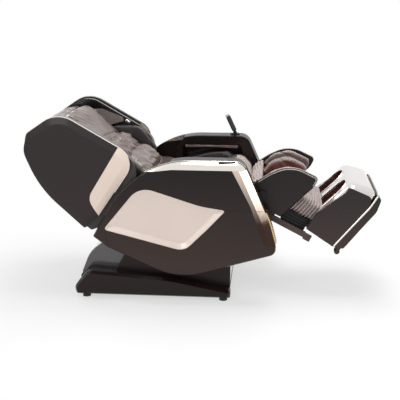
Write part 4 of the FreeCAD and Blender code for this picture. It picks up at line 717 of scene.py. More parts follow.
def outward(line: Array) -> Array:
    """For each point of a closed anticlockwise line, the unit direction straight out of it."""
    tangent = unit(np.roll(line, -1, 0) - np.roll(line, 1, 0))
    return np.stack((tangent[:, 1], -tangent[:, 0]), axis=1)


def standing(line: Array, across: Array | float) -> Array:
    """Puts points of a side profile at a level across: (N, 3) along, across, up."""
    level = np.broadcast_to(across, line.shape[:-1])
    return np.stack((line[..., 0], level, line[..., 1]), axis=-1)


def dip(value: Array, middle: float, width: float) -> Array:
    """A sewn channel's depth, 1 at its middle and fading over its width."""
    return np.exp(-(((value - middle) / width) ** 2))


@dataclass(frozen=True)
class Relief:
    """How far a padded skin stands out or in. All its sizes are in millimetres."""

    height: float

    def at(self, points: Array) -> Array:
        """The relief at each of the (..., 3) points."""
        raise NotImplementedError


@dataclass(frozen=True)
class Hills(Relief):
    """Smooth hills and hollows, size from one to the next."""

    size: float
    seed: int
    waves: int = 9
    gain: float = 1.8

    def at(self, points: Array) -> Array:
        """The mean of sine waves in random directions, times the height.

        Args:
            points: (..., 3) where it is wanted, in millimetres.

        Returns:
            The relief at each point.
        """
        random = np.random.default_rng(self.seed)
        directions = unit(random.normal(size=(self.waves, 3))) * 2 * np.pi / self.size
        directions *= random.uniform(0.6, 1.5, (self.waves, 1))
        phases = random.uniform(0, 2 * np.pi, self.waves)
        return self.height * self.gain * np.sin(points @ directions.T + phases).mean(-1)


@dataclass(frozen=True)
class Folds(Relief):
    """Gathered folds: ridges one pitch apart, bent and broken by hills.

    A fade, where there is one, is an axis and the two levels on it between which the folds
    grow from nothing to full height. Its level across counts from the chair's middle.
    """

    direction: Corner
    pitch: float
    seed: int
    sharp: float = 2.0
    fade: tuple[int, float, float] | None = None
    bend: float = 0.55
    broken: float = 0.4

    def at(self, points: Array) -> Array:
        """Height ((1 + cos(phase)) / 2) to the power sharp, its phase and height moved by hills.

        Args:
            points: (..., 3) where it is wanted, in millimetres.

        Returns:
            The relief at each point.
        """
        phase = points @ unit(np.array(self.direction, float)) / self.pitch
        phase = phase + Hills(self.bend, self.pitch * 4.5, self.seed).at(points)
        ridge = (0.5 + 0.5 * np.cos(2 * np.pi * phase)) ** self.sharp
        gaps = Hills(self.broken, self.pitch * 3, self.seed + 1).at(points)
        ridge = self.height * ridge * (1 - self.broken + gaps)
        if self.fade is None:
            return ridge
        axis, none, full = self.fade
        level = np.abs(points[..., 1]) if axis == 1 else points[..., axis]
        return ridge * np.clip((level - none) / (full - none), 0, 1)


@dataclass(frozen=True)
class Seam(Relief):
    """One channel across the chair at a given level up, slanting by slant for each unit across."""

    level: float
    width: float
    slant: float = 0.0

    def at(self, points: Array) -> Array:
        """Minus the height, times the channel's depth."""
        up = points[..., 2] + self.slant * points[..., 1]
        return -self.height * dip(up, self.level, self.width)


@dataclass(frozen=True)
class Hollow(Relief):
    """A bowl pressed into the skin that lies further along than the given face."""

    level: float
    wide: float
    tall: float
    face: float

    def at(self, points: Array) -> Array:
        """Minus the height, times a bell curve across and one up.

        Args:
            points: (..., 3) where it is wanted, in millimetres.

        Returns:
            The relief at each point.
        """
        bowl = dip(points[..., 1], 0, self.wide) * dip(points[..., 2], self.level, self.tall)
        return -self.height * bowl * (points[..., 0] > self.face)


@dataclass(frozen=True)
class Quilting(Relief):
    """Two long channels beside the middle and shallower cross seams between them.

    Side is how far the long ones lie from the middle, seams where the cross ones lie on their
    axis, and bow how much those bend with the square of the distance across.
    """

    side: float
    seams: tuple[float, ...]
    axis: int
    bow: float = 0.0
    cross_height: float = 5.0
    width: float = 8.0
    edge: float = 6.0

    def at(self, points: Array) -> Array:
        """Minus the channels' depths; the cross seams end in a smooth step at the long ones.

        Args:
            points: (..., 3) where it is wanted, in millimetres.

        Returns:
            The relief at each point.
        """
        across = np.abs(points[..., 1])
        place = points[..., self.axis] + self.bow * across ** 2
        inside = self.cross_height / (1 + np.exp((across - self.side) / self.edge))
        crossing = sum(dip(place, seam, self.width) for seam in self.seams)
        return -self.height * dip(across, self.side, self.width) - inside * crossing


class Surface:
    """Closed skins of quads, gathered into one mesh."""

    def __init__(self, stand: Stand = Stand.CHAIR) -> None:
        """Starts with no skin.

        Args:
            stand: the plane that the skins' points are given in.
        """
        self.stand = stand
        self.points: list[Array] = []
        self.quads: list[Array] = []
        self.marks: list[Array] = []
        self.count = 0

    def skin(self, rings: Array, ends: bool = True, ring: bool = False, mark: int = 0,
             pick: Callable[[Array], Array] | None = None, other: int = 1) -> "Surface":
        """Joins rings of points by quads, turned so that the faces look outwards.

        Args:
            rings: (rows, columns, 3) points; each row closes on itself.
            ends: whether the first and last row are closed on their middle point.
            ring: whether the last row is joined to the first.
            mark: which of the piece's finishes the skin has.
            pick: true for the points, in the stand's plane, that have the other finish.
            other: which finish that is.

        Returns:
            The surface itself.
        """
        rows, columns = rings.shape[:2]
        if ends:
            first = np.broadcast_to(rings[0].mean(0), (1, columns, 3))
            last = np.broadcast_to(rings[-1].mean(0), (1, columns, 3))
            rings = np.concatenate((first, rings, last))
            rows += 2
        index = np.arange(rows * columns).reshape(rows, columns)
        below = index if ring else index[:-1]
        above = np.roll(index, -1, 0) if ring else index[1:]
        quads = np.stack((below, np.roll(below, -1, 1), np.roll(above, -1, 1), above),
                         axis=-1).reshape(-1, 4)
        flat = rings.reshape(-1, 3)
        points = self.stand.world(flat)
        corner = points[quads]
        volume = np.einsum("ij,ij->", corner[:, 0], np.cross(corner[:, 1], corner[:, 2])
                           + np.cross(corner[:, 2], corner[:, 3]))
        self.points.append(points)
        self.quads.append((quads if volume > 0 else quads[:, ::-1]) + self.count)
        marks = np.full(len(quads), mark)
        if pick is not None:
            marks[pick(flat[quads].mean(1))] = other
        self.marks.append(marks)
        self.count += len(points)
        return self

    def both(self) -> "Surface":
        """Adds the mirror image of everything on the other side of the chair.

        Returns:
            The surface itself.
        """
        points, quads = np.concatenate(self.points), np.concatenate(self.quads)
        self.points.append(points * (1, -1, 1))
        self.quads.append(quads[:, ::-1] + self.count)
        self.marks.append(np.concatenate(self.marks))
        self.count += len(points)
        return self

    def piece(self, name: str, body: str | None, finishes: Sequence[Finishes],
              replaces: Sequence[str] = (), crisp: float = 40.0) -> bpy.types.Object:
        """Makes the mesh object, dressed and riding on its body.

        Args:
            name: the piece's name.
            body: the CAD body that carries it, or None where it rides on none.
            finishes: its finishes, in the order of the skins' marks.
            replaces: the CAD nodes that it stands for.
            crisp: edges that turn by more than this many degrees stay sharp.

        Returns:
            The finished object.
        """
        mesh = bpy.data.meshes.new(name)
        mesh.from_pydata(np.concatenate(self.points).tolist(), [],
                         np.concatenate(self.quads).tolist())
        for finish in finishes:
            mesh.materials.append(finish.value.material())
        mesh.polygons.foreach_set("material_index", np.concatenate(self.marks).astype(np.int32))
        made = bpy.data.objects.new(name, mesh)
        bpy.context.scene.collection.objects.link(made)
        weld(made)
        mesh.shade_smooth()
        mesh.set_sharp_from_angle(angle=np.radians(crisp))
        if body:
            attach(made, body)
        if replaces:
            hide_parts(*replaces)
        log.info("%s: %d faces on %s", name, len(mesh.polygons), body)
        return made


def weld(made: bpy.types.Object) -> None:
    """Merges points that lie on each other, such as those of a closed end.

    Args:
        made: the mesh object.
    """
    work = bmesh.new()
    work.from_mesh(made.data)
    bmesh.ops.remove_doubles(work, verts=work.verts, dist=TOUCH)
    bmesh.ops.dissolve_degenerate(work, edges=work.edges, dist=TOUCH / 10)
    work.to_mesh(made.data)
    work.free()


def plate(outline: Array, inner: float, outer: float, inset: float, depth: float,
          crown: float = 0.0, steps: int = 7) -> Array:
    """A plate's rings from its back, round its bevelled edge, to the middle of its face.

    The bevel is a quarter ellipse inset by depth; the face rises by crown (1 - s^2), where s is
    how far out from the middle a point lies.

    Args:
        outline: (N, 2) the plate's edge.
        inner, outer: the levels across of its back and of its face's rim.
        inset, depth: how far the bevel goes in over the face and down the side.
        crown: how far the middle of the face stands proud.
        steps: how many rings the bevel and the face each have.

    Returns:
        (rows, N, 3) rings.
    """
    side = np.sign(outer - inner)
    normal = outward(outline)
    middle = outline.mean(0)
    hub = 0.02
    rings = [standing(outline * hub + middle * (1 - hub), inner), standing(outline, inner)]
    for angle in np.linspace(0, np.pi / 2, steps):
        rings.append(standing(outline - normal * inset * (1 - np.cos(angle)),
                              outer - side * depth * (1 - np.sin(angle))))
    rim = outline - normal * inset
    for share in np.linspace(1, 0.03, steps + 2)[1:]:
        rings.append(standing(middle + (rim - middle) * share,
                              outer + side * crown * (1 - share ** 2)))
    return np.stack(rings)


def tube(path: Array, radius: float | Array, flat: Corner = (0, 1, 0), closed: bool = False,
         sides: int = 10, flatten: float = 1.0) -> Array:
    """A round bead carried along a path that lies in one plane.

    Each ring is path + r (cos(t) n + flatten sin(t) b), with b the plane's normal and n
    square to b and to the path.

    Args:
        path: (N, 3) its middle line.
        radius: the bead's radius, one number or one for each point.
        flat: the normal of the plane that the path lies in.
        closed: whether the path comes back to its start.
        sides: how many points each ring has.
        flatten: the bead's width along the plane's normal, as a share of its radius.

    Returns:
        (N, sides, 3) rings.
    """
    ahead = np.roll(path, -1, 0) - np.roll(path, 1, 0)
    if not closed:
        ahead[0], ahead[-1] = path[1] - path[0], path[-1] - path[-2]
    across = np.broadcast_to(unit(np.array(flat, float)), path.shape)
    sideways = unit(np.cross(unit(ahead), across))
    turn = np.linspace(0, 2 * np.pi, sides, endpoint=False)
    reach = np.broadcast_to(radius, len(path))[:, None, None]
    return path[:, None] + reach * (np.cos(turn)[:, None] * sideways[:, None]
                                    + flatten * np.sin(turn)[:, None] * across[:, None])


def stitches(path: Array, pitch: float = 6.5, length: float = 4.2,
             radius: float = 0.9) -> list[Array]:
    """A row of sewn stitches, each a short six-sided bead that stands half out of the surface.

    Args:
        path: (N, 3) the seam's line.
        pitch: the distance from one stitch to the next.
        length, radius: the size of one stitch.

    Returns:
        One (4, 6, 3) set of rings for each stitch.
    """
    run = np.linalg.norm(np.diff(path, axis=0), axis=1).sum()
    middle = evenly(path, max(2, int(run / pitch)), closed=False)
    ahead = unit(np.gradient(middle, axis=0))
    askew = np.array((0.3, 0.9, 0.2))
    side = unit(np.cross(ahead, askew))
    over = np.cross(ahead, side)
    turn = np.linspace(0, 2 * np.pi, 6, endpoint=False)
    ring = radius * (np.cos(turn)[None, :, None] * side[:, None]
                     + np.sin(turn)[None, :, None] * over[:, None])
    shares = np.array((-0.5, -0.3, 0.3, 0.5))
    widths = np.array((0.35, 1.0, 1.0, 0.35))
    rows = (middle[:, None, None] + ahead[:, None, None] * (shares * length)[None, :, None, None]
            + ring[:, None] * widths[None, :, None, None])
    return list(rows)


@dataclass(frozen=True)
class Soft:
    """A stuffed block: a side profile carried across, with its ends rolled in."""

    outline: Outline
    low: float
    high: float
    draw: float
    roll: float
    crown: float = 0.0
    bulge: float = 0.0
    spacing: float = 7.0
    reliefs: tuple[Relief, ...] = ()
    sink: float = 0.0

    def rings(self) -> Array:
        """The block's skin.

        Near each end the profile draws in by draw (1 - sin t) over roll (1 - cos t); in the
        middle it swells by crown sin(pi s). The closed ends bulge by bulge (1 - s^2). Then each
        point moves along its own normal by the sum of the reliefs, less sink.

        Returns:
            (rows, N, 3) rings from one end to the other.
        """
        line = self.outline.points(spacing=3.0)
        perimeter = np.linalg.norm(np.roll(line, -1, 0) - line, axis=1).sum()
        line = evenly(line, int(perimeter / self.spacing))
        normal = outward(line)
        middle = line.mean(0)
        turn = np.linspace(0, np.pi / 2, 7)
        edge_level = self.roll * (1 - np.cos(turn))
        edge_growth = -self.draw * (1 - np.sin(turn))
        inner = self.high - self.low - 2 * self.roll
        share = np.linspace(0, 1, max(3, int(inner / self.spacing)))[1:-1]
        level = np.concatenate((self.low + edge_level, self.low + self.roll + inner * share,
                                (self.high - edge_level)[::-1]))
        growth = np.concatenate((edge_growth, self.crown * np.sin(np.pi * share),
                                 edge_growth[::-1]))
        body = standing(line + normal * growth[:, None, None], level[:, None])
        cap = np.array((0.92, 0.78, 0.55, 0.3, 0.06))
        shrunk = middle + (line - normal * self.draw - middle) * cap[:, None, None]
        rise = self.bulge * (1 - cap ** 2)
        rings = np.concatenate((standing(shrunk, (self.low - rise)[:, None])[::-1], body,
                                standing(shrunk, (self.high + rise)[:, None])))
        out = unit(np.cross(np.roll(rings, -1, 1) - np.roll(rings, 1, 1),
                            np.gradient(rings, axis=0)))
        out *= np.sign((out * (rings - rings.mean((0, 1)))).sum())
        move = sum(relief.at(rings) for relief in self.reliefs) - self.sink
        return rings + out * move[..., None]


# ---------------------------------------------------------------------------------------
# Sub-assemblies
# ---------------------------------------------------------------------------------------


def stretch_of(outline: Outline, begin: tuple[float, float], end: tuple[float, float],
               out: float = 0.0) -> Array:
    """The part of a profile that runs anticlockwise between its points nearest to two places.

    Args:
        outline: the profile.
        begin, end: places near where the part starts and stops.
        out: how far the part is moved straight out of the profile, in millimetres.

    Returns:
        (N, 2) points.
    """
    line = outline.points(spacing=4.0)
    line = line + outward(line) * out
    first = int(np.linalg.norm(line - np.array(begin), axis=1).argmin())
    last = int(np.linalg.norm(line - np.array(end), axis=1).argmin())
    return np.roll(line, -first, 0)[: (last - first) % len(line) + 1]


@dataclass(frozen=True)
class Bead:
    """Piping or a seam along a stretch of an outline, from near one place to near another."""

    begin: Place
    end: Place
    out: float
    level: float
    radius: float

    def rings(self, outline: Outline, side: float = 1.0) -> Array:
        """The bead's skin.

        Args:
            outline: what it runs along, standing out of it by out.
            side: -1 for the chair's right, 1 for its left.

        Returns:
            (N, sides, 3) rings at the given level across.
        """
        line = stretch_of(outline, self.begin, self.end, self.out)
        return tube(standing(line, side * self.level), self.radius)


@dataclass
class Seat:
    """The seat cushion: a leather top sewn in panels and a nose in embossed fabric."""

    pad: Soft = Soft(Outline(((-335, 360, 24), (-335, 436, 36), (192, 690, 72),
                              (266, 618, 48), (250, 526, 26))), -283, 283, 20, 34, 4, 3,
                     reliefs=(Hills(3, 150, 3), Folds(1.2, (1, 0.2, 0.4), 34, 5),
                              Quilting(7, 178, (-210, -90, 30), 0, 0.0004)))
    nose_start: float = 172.0
    piping: Bead = Bead((262, 600), (-320, 440), 1.0, 262.0, 2.6)

    def nose(self, points: Array) -> Array:
        """True where the cover is embossed fabric: the front end of the cushion."""
        return points[..., 0] > self.nose_start

    def build(self) -> None:
        """Makes the cushion and its piped side edges."""
        cover = Surface().skin(self.pad.rings(), pick=self.nose)
        cover = cover.piece("seat_cushion_cover", "seat", (Finishes.LEATHER, Finishes.NET),
                            ("seat_cushion",))
        piping = Surface()
        for side in SIDES:
            piping.skin(self.piping.rings(self.pad.outline, side))
        piping.piece("seat_piping", "seat", (Finishes.DARK_LEATHER,))


@dataclass
class Arms:
    """What the arms carry: forearm pads with their seams, front vents and parting lines."""

    creased: tuple[Relief, ...] = (Hills(1.6, 70, 11), Folds(1.0, (1, 0.4, 0.5), 26, 13))
    upper: Soft = Soft(Outline(((-136, 705, 8), (-136, 724, 8), (178, 724, 8), (178, 702, 9),
                                (10, 709, 150))), 301, 386, 4, 11, 0, 2, 5, creased)
    lower: Soft = Soft(Outline(((-143, 564, 22), (-143, 642, 34), (20, 682, 150),
                                (120, 690, 44), (192, 628, 40), (188, 564, 22))),
                       297, 386, 10, 20, 1, 3, 5, creased)
    arm: Outline = Outline(((-545, 371, 8), (-428, 581, 500), (-224, 778, 460), (232, 778, 66),
                            (372, 460, 400), (417, 300, 40), (-96, 148, 360), (-467, 314, 20)))
    vent_ends: tuple[Place, Place] = ((408, 348), (348, 512))
    vent_sides: tuple[float, float] = (332.0, 398.0)
    vent_ribs: int = 15
    vent_skin: float = 3.0
    vent_rise: float = 6.0
    vent_root: float = 4.0
    seam_ends: tuple[Place, Place] = ((186, 572), (95, 690))
    seam_insets: tuple[float, ...] = (12.0, 19.0)
    seam_level: float = 294.2
    seam_slope: float = 0.06
    partings: tuple[tuple[Place, Place], ...] = (((152, 529), (334, 527)),
                                                 ((-480, 404), (-462, 312)))
    parting_level: float = 429.6
    parting_radius: float = 1.1
    lip: Bead = Bead((417, 330), (-420, 570), -0.4, 403.5, 1.6)

    def vent(self, count: int = 150, columns: int = 8) -> Array:
        """A ribbed grille down the arm's front edge.

        Its thickness is vent_skin + vent_rise |sin|^0.6 along it, on a root inside the arm.

        Args:
            count: how many rings it has.
            columns: how many points its outer and its inner face have across.

        Returns:
            (count, 2 columns, 3) rings.
        """
        edge = evenly(stretch_of(self.arm, *self.vent_ends), count, closed=False)
        ahead = unit(np.gradient(edge, axis=0))
        out = np.stack((ahead[:, 1], -ahead[:, 0]), axis=1)
        wave = np.abs(np.sin(np.linspace(0, np.pi * self.vent_ribs, count)))
        rib = self.vent_skin + self.vent_rise * wave ** 0.6
        rib[0] = rib[-1] = 1.0
        top = edge + out * rib[:, None]
        low = edge - out * self.vent_root
        level = np.linspace(*self.vent_sides, columns)[:, None]
        faces = np.concatenate((standing(np.broadcast_to(top, (columns, *top.shape)), level),
                                standing(np.broadcast_to(low, (columns, *low.shape)),
                                         level[::-1])))
        return np.swapaxes(faces, 0, 1)

    def build(self) -> None:
        """Makes the pads, the white stitching round their fronts, the vents and the lines."""
        pads = Surface()
        pads.skin(self.upper.rings(), mark=1)
        pads.skin(self.lower.rings())
        pads = pads.both().piece("forearm_pad_covers", "seat",
                                 (Finishes.DARK_LEATHER, Finishes.LEATHER), ("forearm_pads",))
        thread = Surface()
        for inset in self.seam_insets:
            seam = stretch_of(self.lower.outline, *self.seam_ends, -inset)
            level = self.seam_level - self.seam_slope * inset
            for rings in stitches(standing(seam, level)):
                thread.skin(rings)
        thread.both().piece("forearm_pad_stitching", "seat", (Finishes.THREAD,))
        lines = Surface()
        for begin, end in self.partings:
            path = standing(np.linspace(begin, end, 24), self.parting_level)
            lines.skin(tube(path, self.parting_radius))
        vents = Surface().skin(self.vent()).both()
        vents.piece("arm_vent_grilles", "seat", (Finishes.GOLD,), ("arm_vents",))
        lines.skin(self.lip.rings(self.arm))
        lines.both().piece("arm_parting_lines", "seat", (Finishes.PLASTIC,))


@dataclass
class Back:
    """The reclining back's soft pieces: back cushion, head pillow, gathered cloth and pads."""

    cushion: Soft = Soft(Outline(((222, -98, 26), (330, -104, 48), (302, 90, 400),
                                  (300, 494, 10), (342, 506, 18), (284, 573, 40),
                                  (231, 588, 14))), -288, 288, 14, 30, 3, 2,
                         reliefs=(Hills(3, 110, 21), Folds(4, (0.2, 0.4, 1), 46, 22),
                                  Quilting(7, 190, (-60, 30, 120, 210, 540), 2)))
    pillow: Soft = Soft(Outline(((303, 194, 9), (303, 486, 16), (376, 489, 34), (385, 440, 60),
                                 (356, 300, 300), (332, 200, 24))), -205, 205, 9, 26, 5, 8, 5,
                        (Hills(4, 120, 35), Seam(8, 262, 7, 0.12), Hollow(7, 350, 110, 90, 330),
                         Folds(7, (0.2, 0.7, 1), 42, 31, 3, (2, 330, 390)),
                         Folds(8, (0, 1, 0.6), 38, 33, 2, (2, 300, 240))))
    gather: Soft = Soft(Outline(((286, 60, 30), (290, 232, 30), (346, 226, 34),
                                 (374, 186, 60), (352, 92, 90))), -214, 214, 22, 44, 2, 4, 5,
                        (Folds(13, (0.1, 0.7, 1), 46, 41, 1.6), Hills(8, 90, 43),
                         Folds(5, (0.3, 1, -0.5), 27, 45)), 6)
    roll: Soft = Soft(Outline(((286, -60, 34), (288, 118, 34), (334, 122, 44),
                               (366, 40, 110), (346, -58, 50))), -232, 232, 24, 52, 2, 4, 5,
                      (Hills(5, 110, 51), Folds(5, (0.2, 0.35, 1), 44, 53, 1.6),
                       Folds(8, (0, 1, 0.4), 30, 55, 2, (1, 120, 210))), 2)
    pad: Soft = Soft(Outline(((252, 284, 26), (330, 288, 46), (412, 150, 78), (350, -14, 42),
                              (252, -10, 26))), 293, 317.4, 12, 9, 0, 5, 5, (Hills(1.2, 90, 61),))
    welt_inset: float = 2.0
    welt_level: float = 199.0
    welt_radius: float = 2.2
    seam: Bead = Bead((330, -80), (284, 573), 0.5, 276.0, 2.2)
    clip: Outline = Outline(((388, 208, 3), (403, 208, 3), (403, 238, 3), (388, 238, 3)))
    clip_levels: tuple[float, float] = (317.0, 311.5)

    def build(self) -> None:
        """Makes each soft piece, its piping and the small bright clips on the wings."""
        for name, soft, nodes, fill in (
                ("back_cushion_cover", self.cushion, ("back_cushion",), 0.7),
                ("head_pillow_cover", self.pillow, ("head_pillow",), 0.6),
                ("neck_gather", self.gather, (), 0.4), ("neck_bolster", self.roll, (), 0.6)):
            made = Surface(Stand.BACK).skin(soft.rings())
            made = made.piece(name, "back", (Finishes.LEATHER,), nodes)
        pads = Surface(Stand.BACK).skin(self.pad.rings()).both()
        pads = pads.piece("shoulder_pad_covers", "back", (Finishes.DARK_LEATHER,),
                          ("shoulder_pads",))
        piping = Surface(Stand.BACK)
        edge = self.pillow.outline.points(spacing=4.0)
        edge = edge - outward(edge) * self.welt_inset
        for side in SIDES:
            welt = tube(standing(edge, side * self.welt_level), self.welt_radius, closed=True)
            piping.skin(welt, ends=False, ring=True)
        for side in SIDES:
            piping.skin(self.seam.rings(self.cushion.outline, side))
        piping.piece("back_piping", "back", (Finishes.LEATHER,))
        clips = Surface(Stand.BACK)
        clips.skin(plate(self.clip.points(spacing=2.0), *self.clip_levels, 2.5, 2, 0.6))
        clips.both().piece("wing_clips", "back", (Finishes.CHAMPAGNE,))


@dataclass
class Leg:
    """The calf rest: three ridges of padding, double piping and pleated lining at the knee."""

    creased: tuple[Relief, ...] = (Hills(1.6, 60, 71), Folds(1.8, (1, 0.5, 0.2), 24, 73),
                                   Seam(3, 176, 6))
    calf: Outline = Outline(((-47, 36, 14), (2, 124, 180), (76, 222, 170), (238, 228, 20),
                             (240, 170, 60), (164, -50, 9), (76, -52, 20), (8, 4, 30)))
    floor: Soft = Soft(Outline(((-22, 29, 8), (-18, 56, 12), (206, 58, 22), (188, 6, 14))),
                       -212, 212, 5, 18, 2, 0, 6, creased)
    ridge: Soft = Soft(Outline(((-10, 64, 9), (6, 140, 90), (72, 208, 100), (196, 210, 34),
                                (196, 64, 20))), -33, 33, 11, 22, 2, 2, 5, creased)
    side: Soft = Soft(Outline(((-10, 64, 9), (14, 140, 90), (84, 206, 100), (218, 214, 30),
                               (222, 160, 40), (196, 64, 18))), 196, 236, 9, 15, 2, 3, 5, creased)
    crest_half: float = 17.0
    fabric_side: float = 208.0
    fabric_level: float = 120.0
    pin: Place = (30.0, 20.0)
    lining_arc: tuple[float, float] = (128.0, 214.0)
    lining_half: float = 229.0
    lining_radii: tuple[float, float] = (62.0, 74.0)
    pleat_turn: float = 13.5
    pleat_rise: float = 6.5
    outer_piping: Bead = Bead((240, 178), (-30, 66), -5.5, 262.2, 2.3)
    inner_piping: Bead = Bead((240, 178), (-30, 66), 0.8, 251.0, 2.8)
    ridge_piping: Bead = Bead((196, 150), (0, 100), -1.0, 21.5, 2.4)
    side_piping: Bead = Bead((222, 165), (4, 110), -1.0, 205.0, 2.2)

    def crest(self, points: Array) -> Array:
        """True on the crest of the middle ridge, which is taupe."""
        return np.abs(points[..., 1]) < self.crest_half

    def fabric(self, points: Array) -> Array:
        """True on the upper, outer part of a side pad, which is embossed fabric."""
        return (points[..., 1] > self.fabric_side) & (points[..., 2] > self.fabric_level)

    def knee_lining(self) -> Array:
        """Pleated cloth round the knee pin.

        It is an arc with a smooth inner face, and its outer radius rises by a cosine to the
        power 1.5 at each pleat and ripples a little across.

        Returns:
            (rows, N, 3) rings from one side to the other.
        """
        turn = np.radians(np.linspace(*self.lining_arc, 90))
        level = np.linspace(-self.lining_half, self.lining_half, 80)[:, None]
        inner, outer = self.lining_radii
        phase = 2 * np.pi * (turn / np.radians(self.pleat_turn) + 0.25 * np.sin(level / 37.0))
        pleated = (outer + self.pleat_rise * (0.5 + 0.5 * np.cos(phase)) ** 1.5
                   + 1.2 * np.sin(level / 11 + 3 * turn))
        radius = np.concatenate((pleated, np.full_like(pleated, inner)), axis=1)
        angle = np.concatenate((turn, turn[::-1]))
        return np.stack((self.pin[0] + radius * np.cos(angle),
                         np.broadcast_to(level, radius.shape),
                         self.pin[1] + radius * np.sin(angle)), axis=-1)

    def build(self) -> None:
        """Makes the pads, the knee lining and the piping along the tops."""
        pads = Surface(Stand.LEG)
        pads.skin(self.floor.rings(), mark=1)
        pads.skin(self.ridge.rings(), mark=1, pick=self.crest, other=0)
        sides = Surface(Stand.LEG)
        sides.skin(self.side.rings(), pick=self.fabric, other=1)
        middle = pads.piece("calf_middle_pads", "leg", (Finishes.LEATHER, Finishes.RED_LEATHER),
                            ("calf_cushions",))
        outer = sides.both().piece("calf_side_pads", "leg", (Finishes.LEATHER, Finishes.NET),
                                   ("calf_cushions",))
        lining = Surface(Stand.LEG).skin(self.knee_lining())
        lining.piece("knee_lining", "leg", (Finishes.PLEATED,), ("knee_gusset",))
        piping = Surface(Stand.LEG)
        for bead, outline in ((self.outer_piping, self.calf), (self.inner_piping, self.calf),
                              (self.ridge_piping, self.ridge.outline),
                              (self.side_piping, self.side.outline)):
            piping.skin(bead.rings(outline))
        piping.both().piece("calf_piping", "leg", (Finishes.PIPING,))


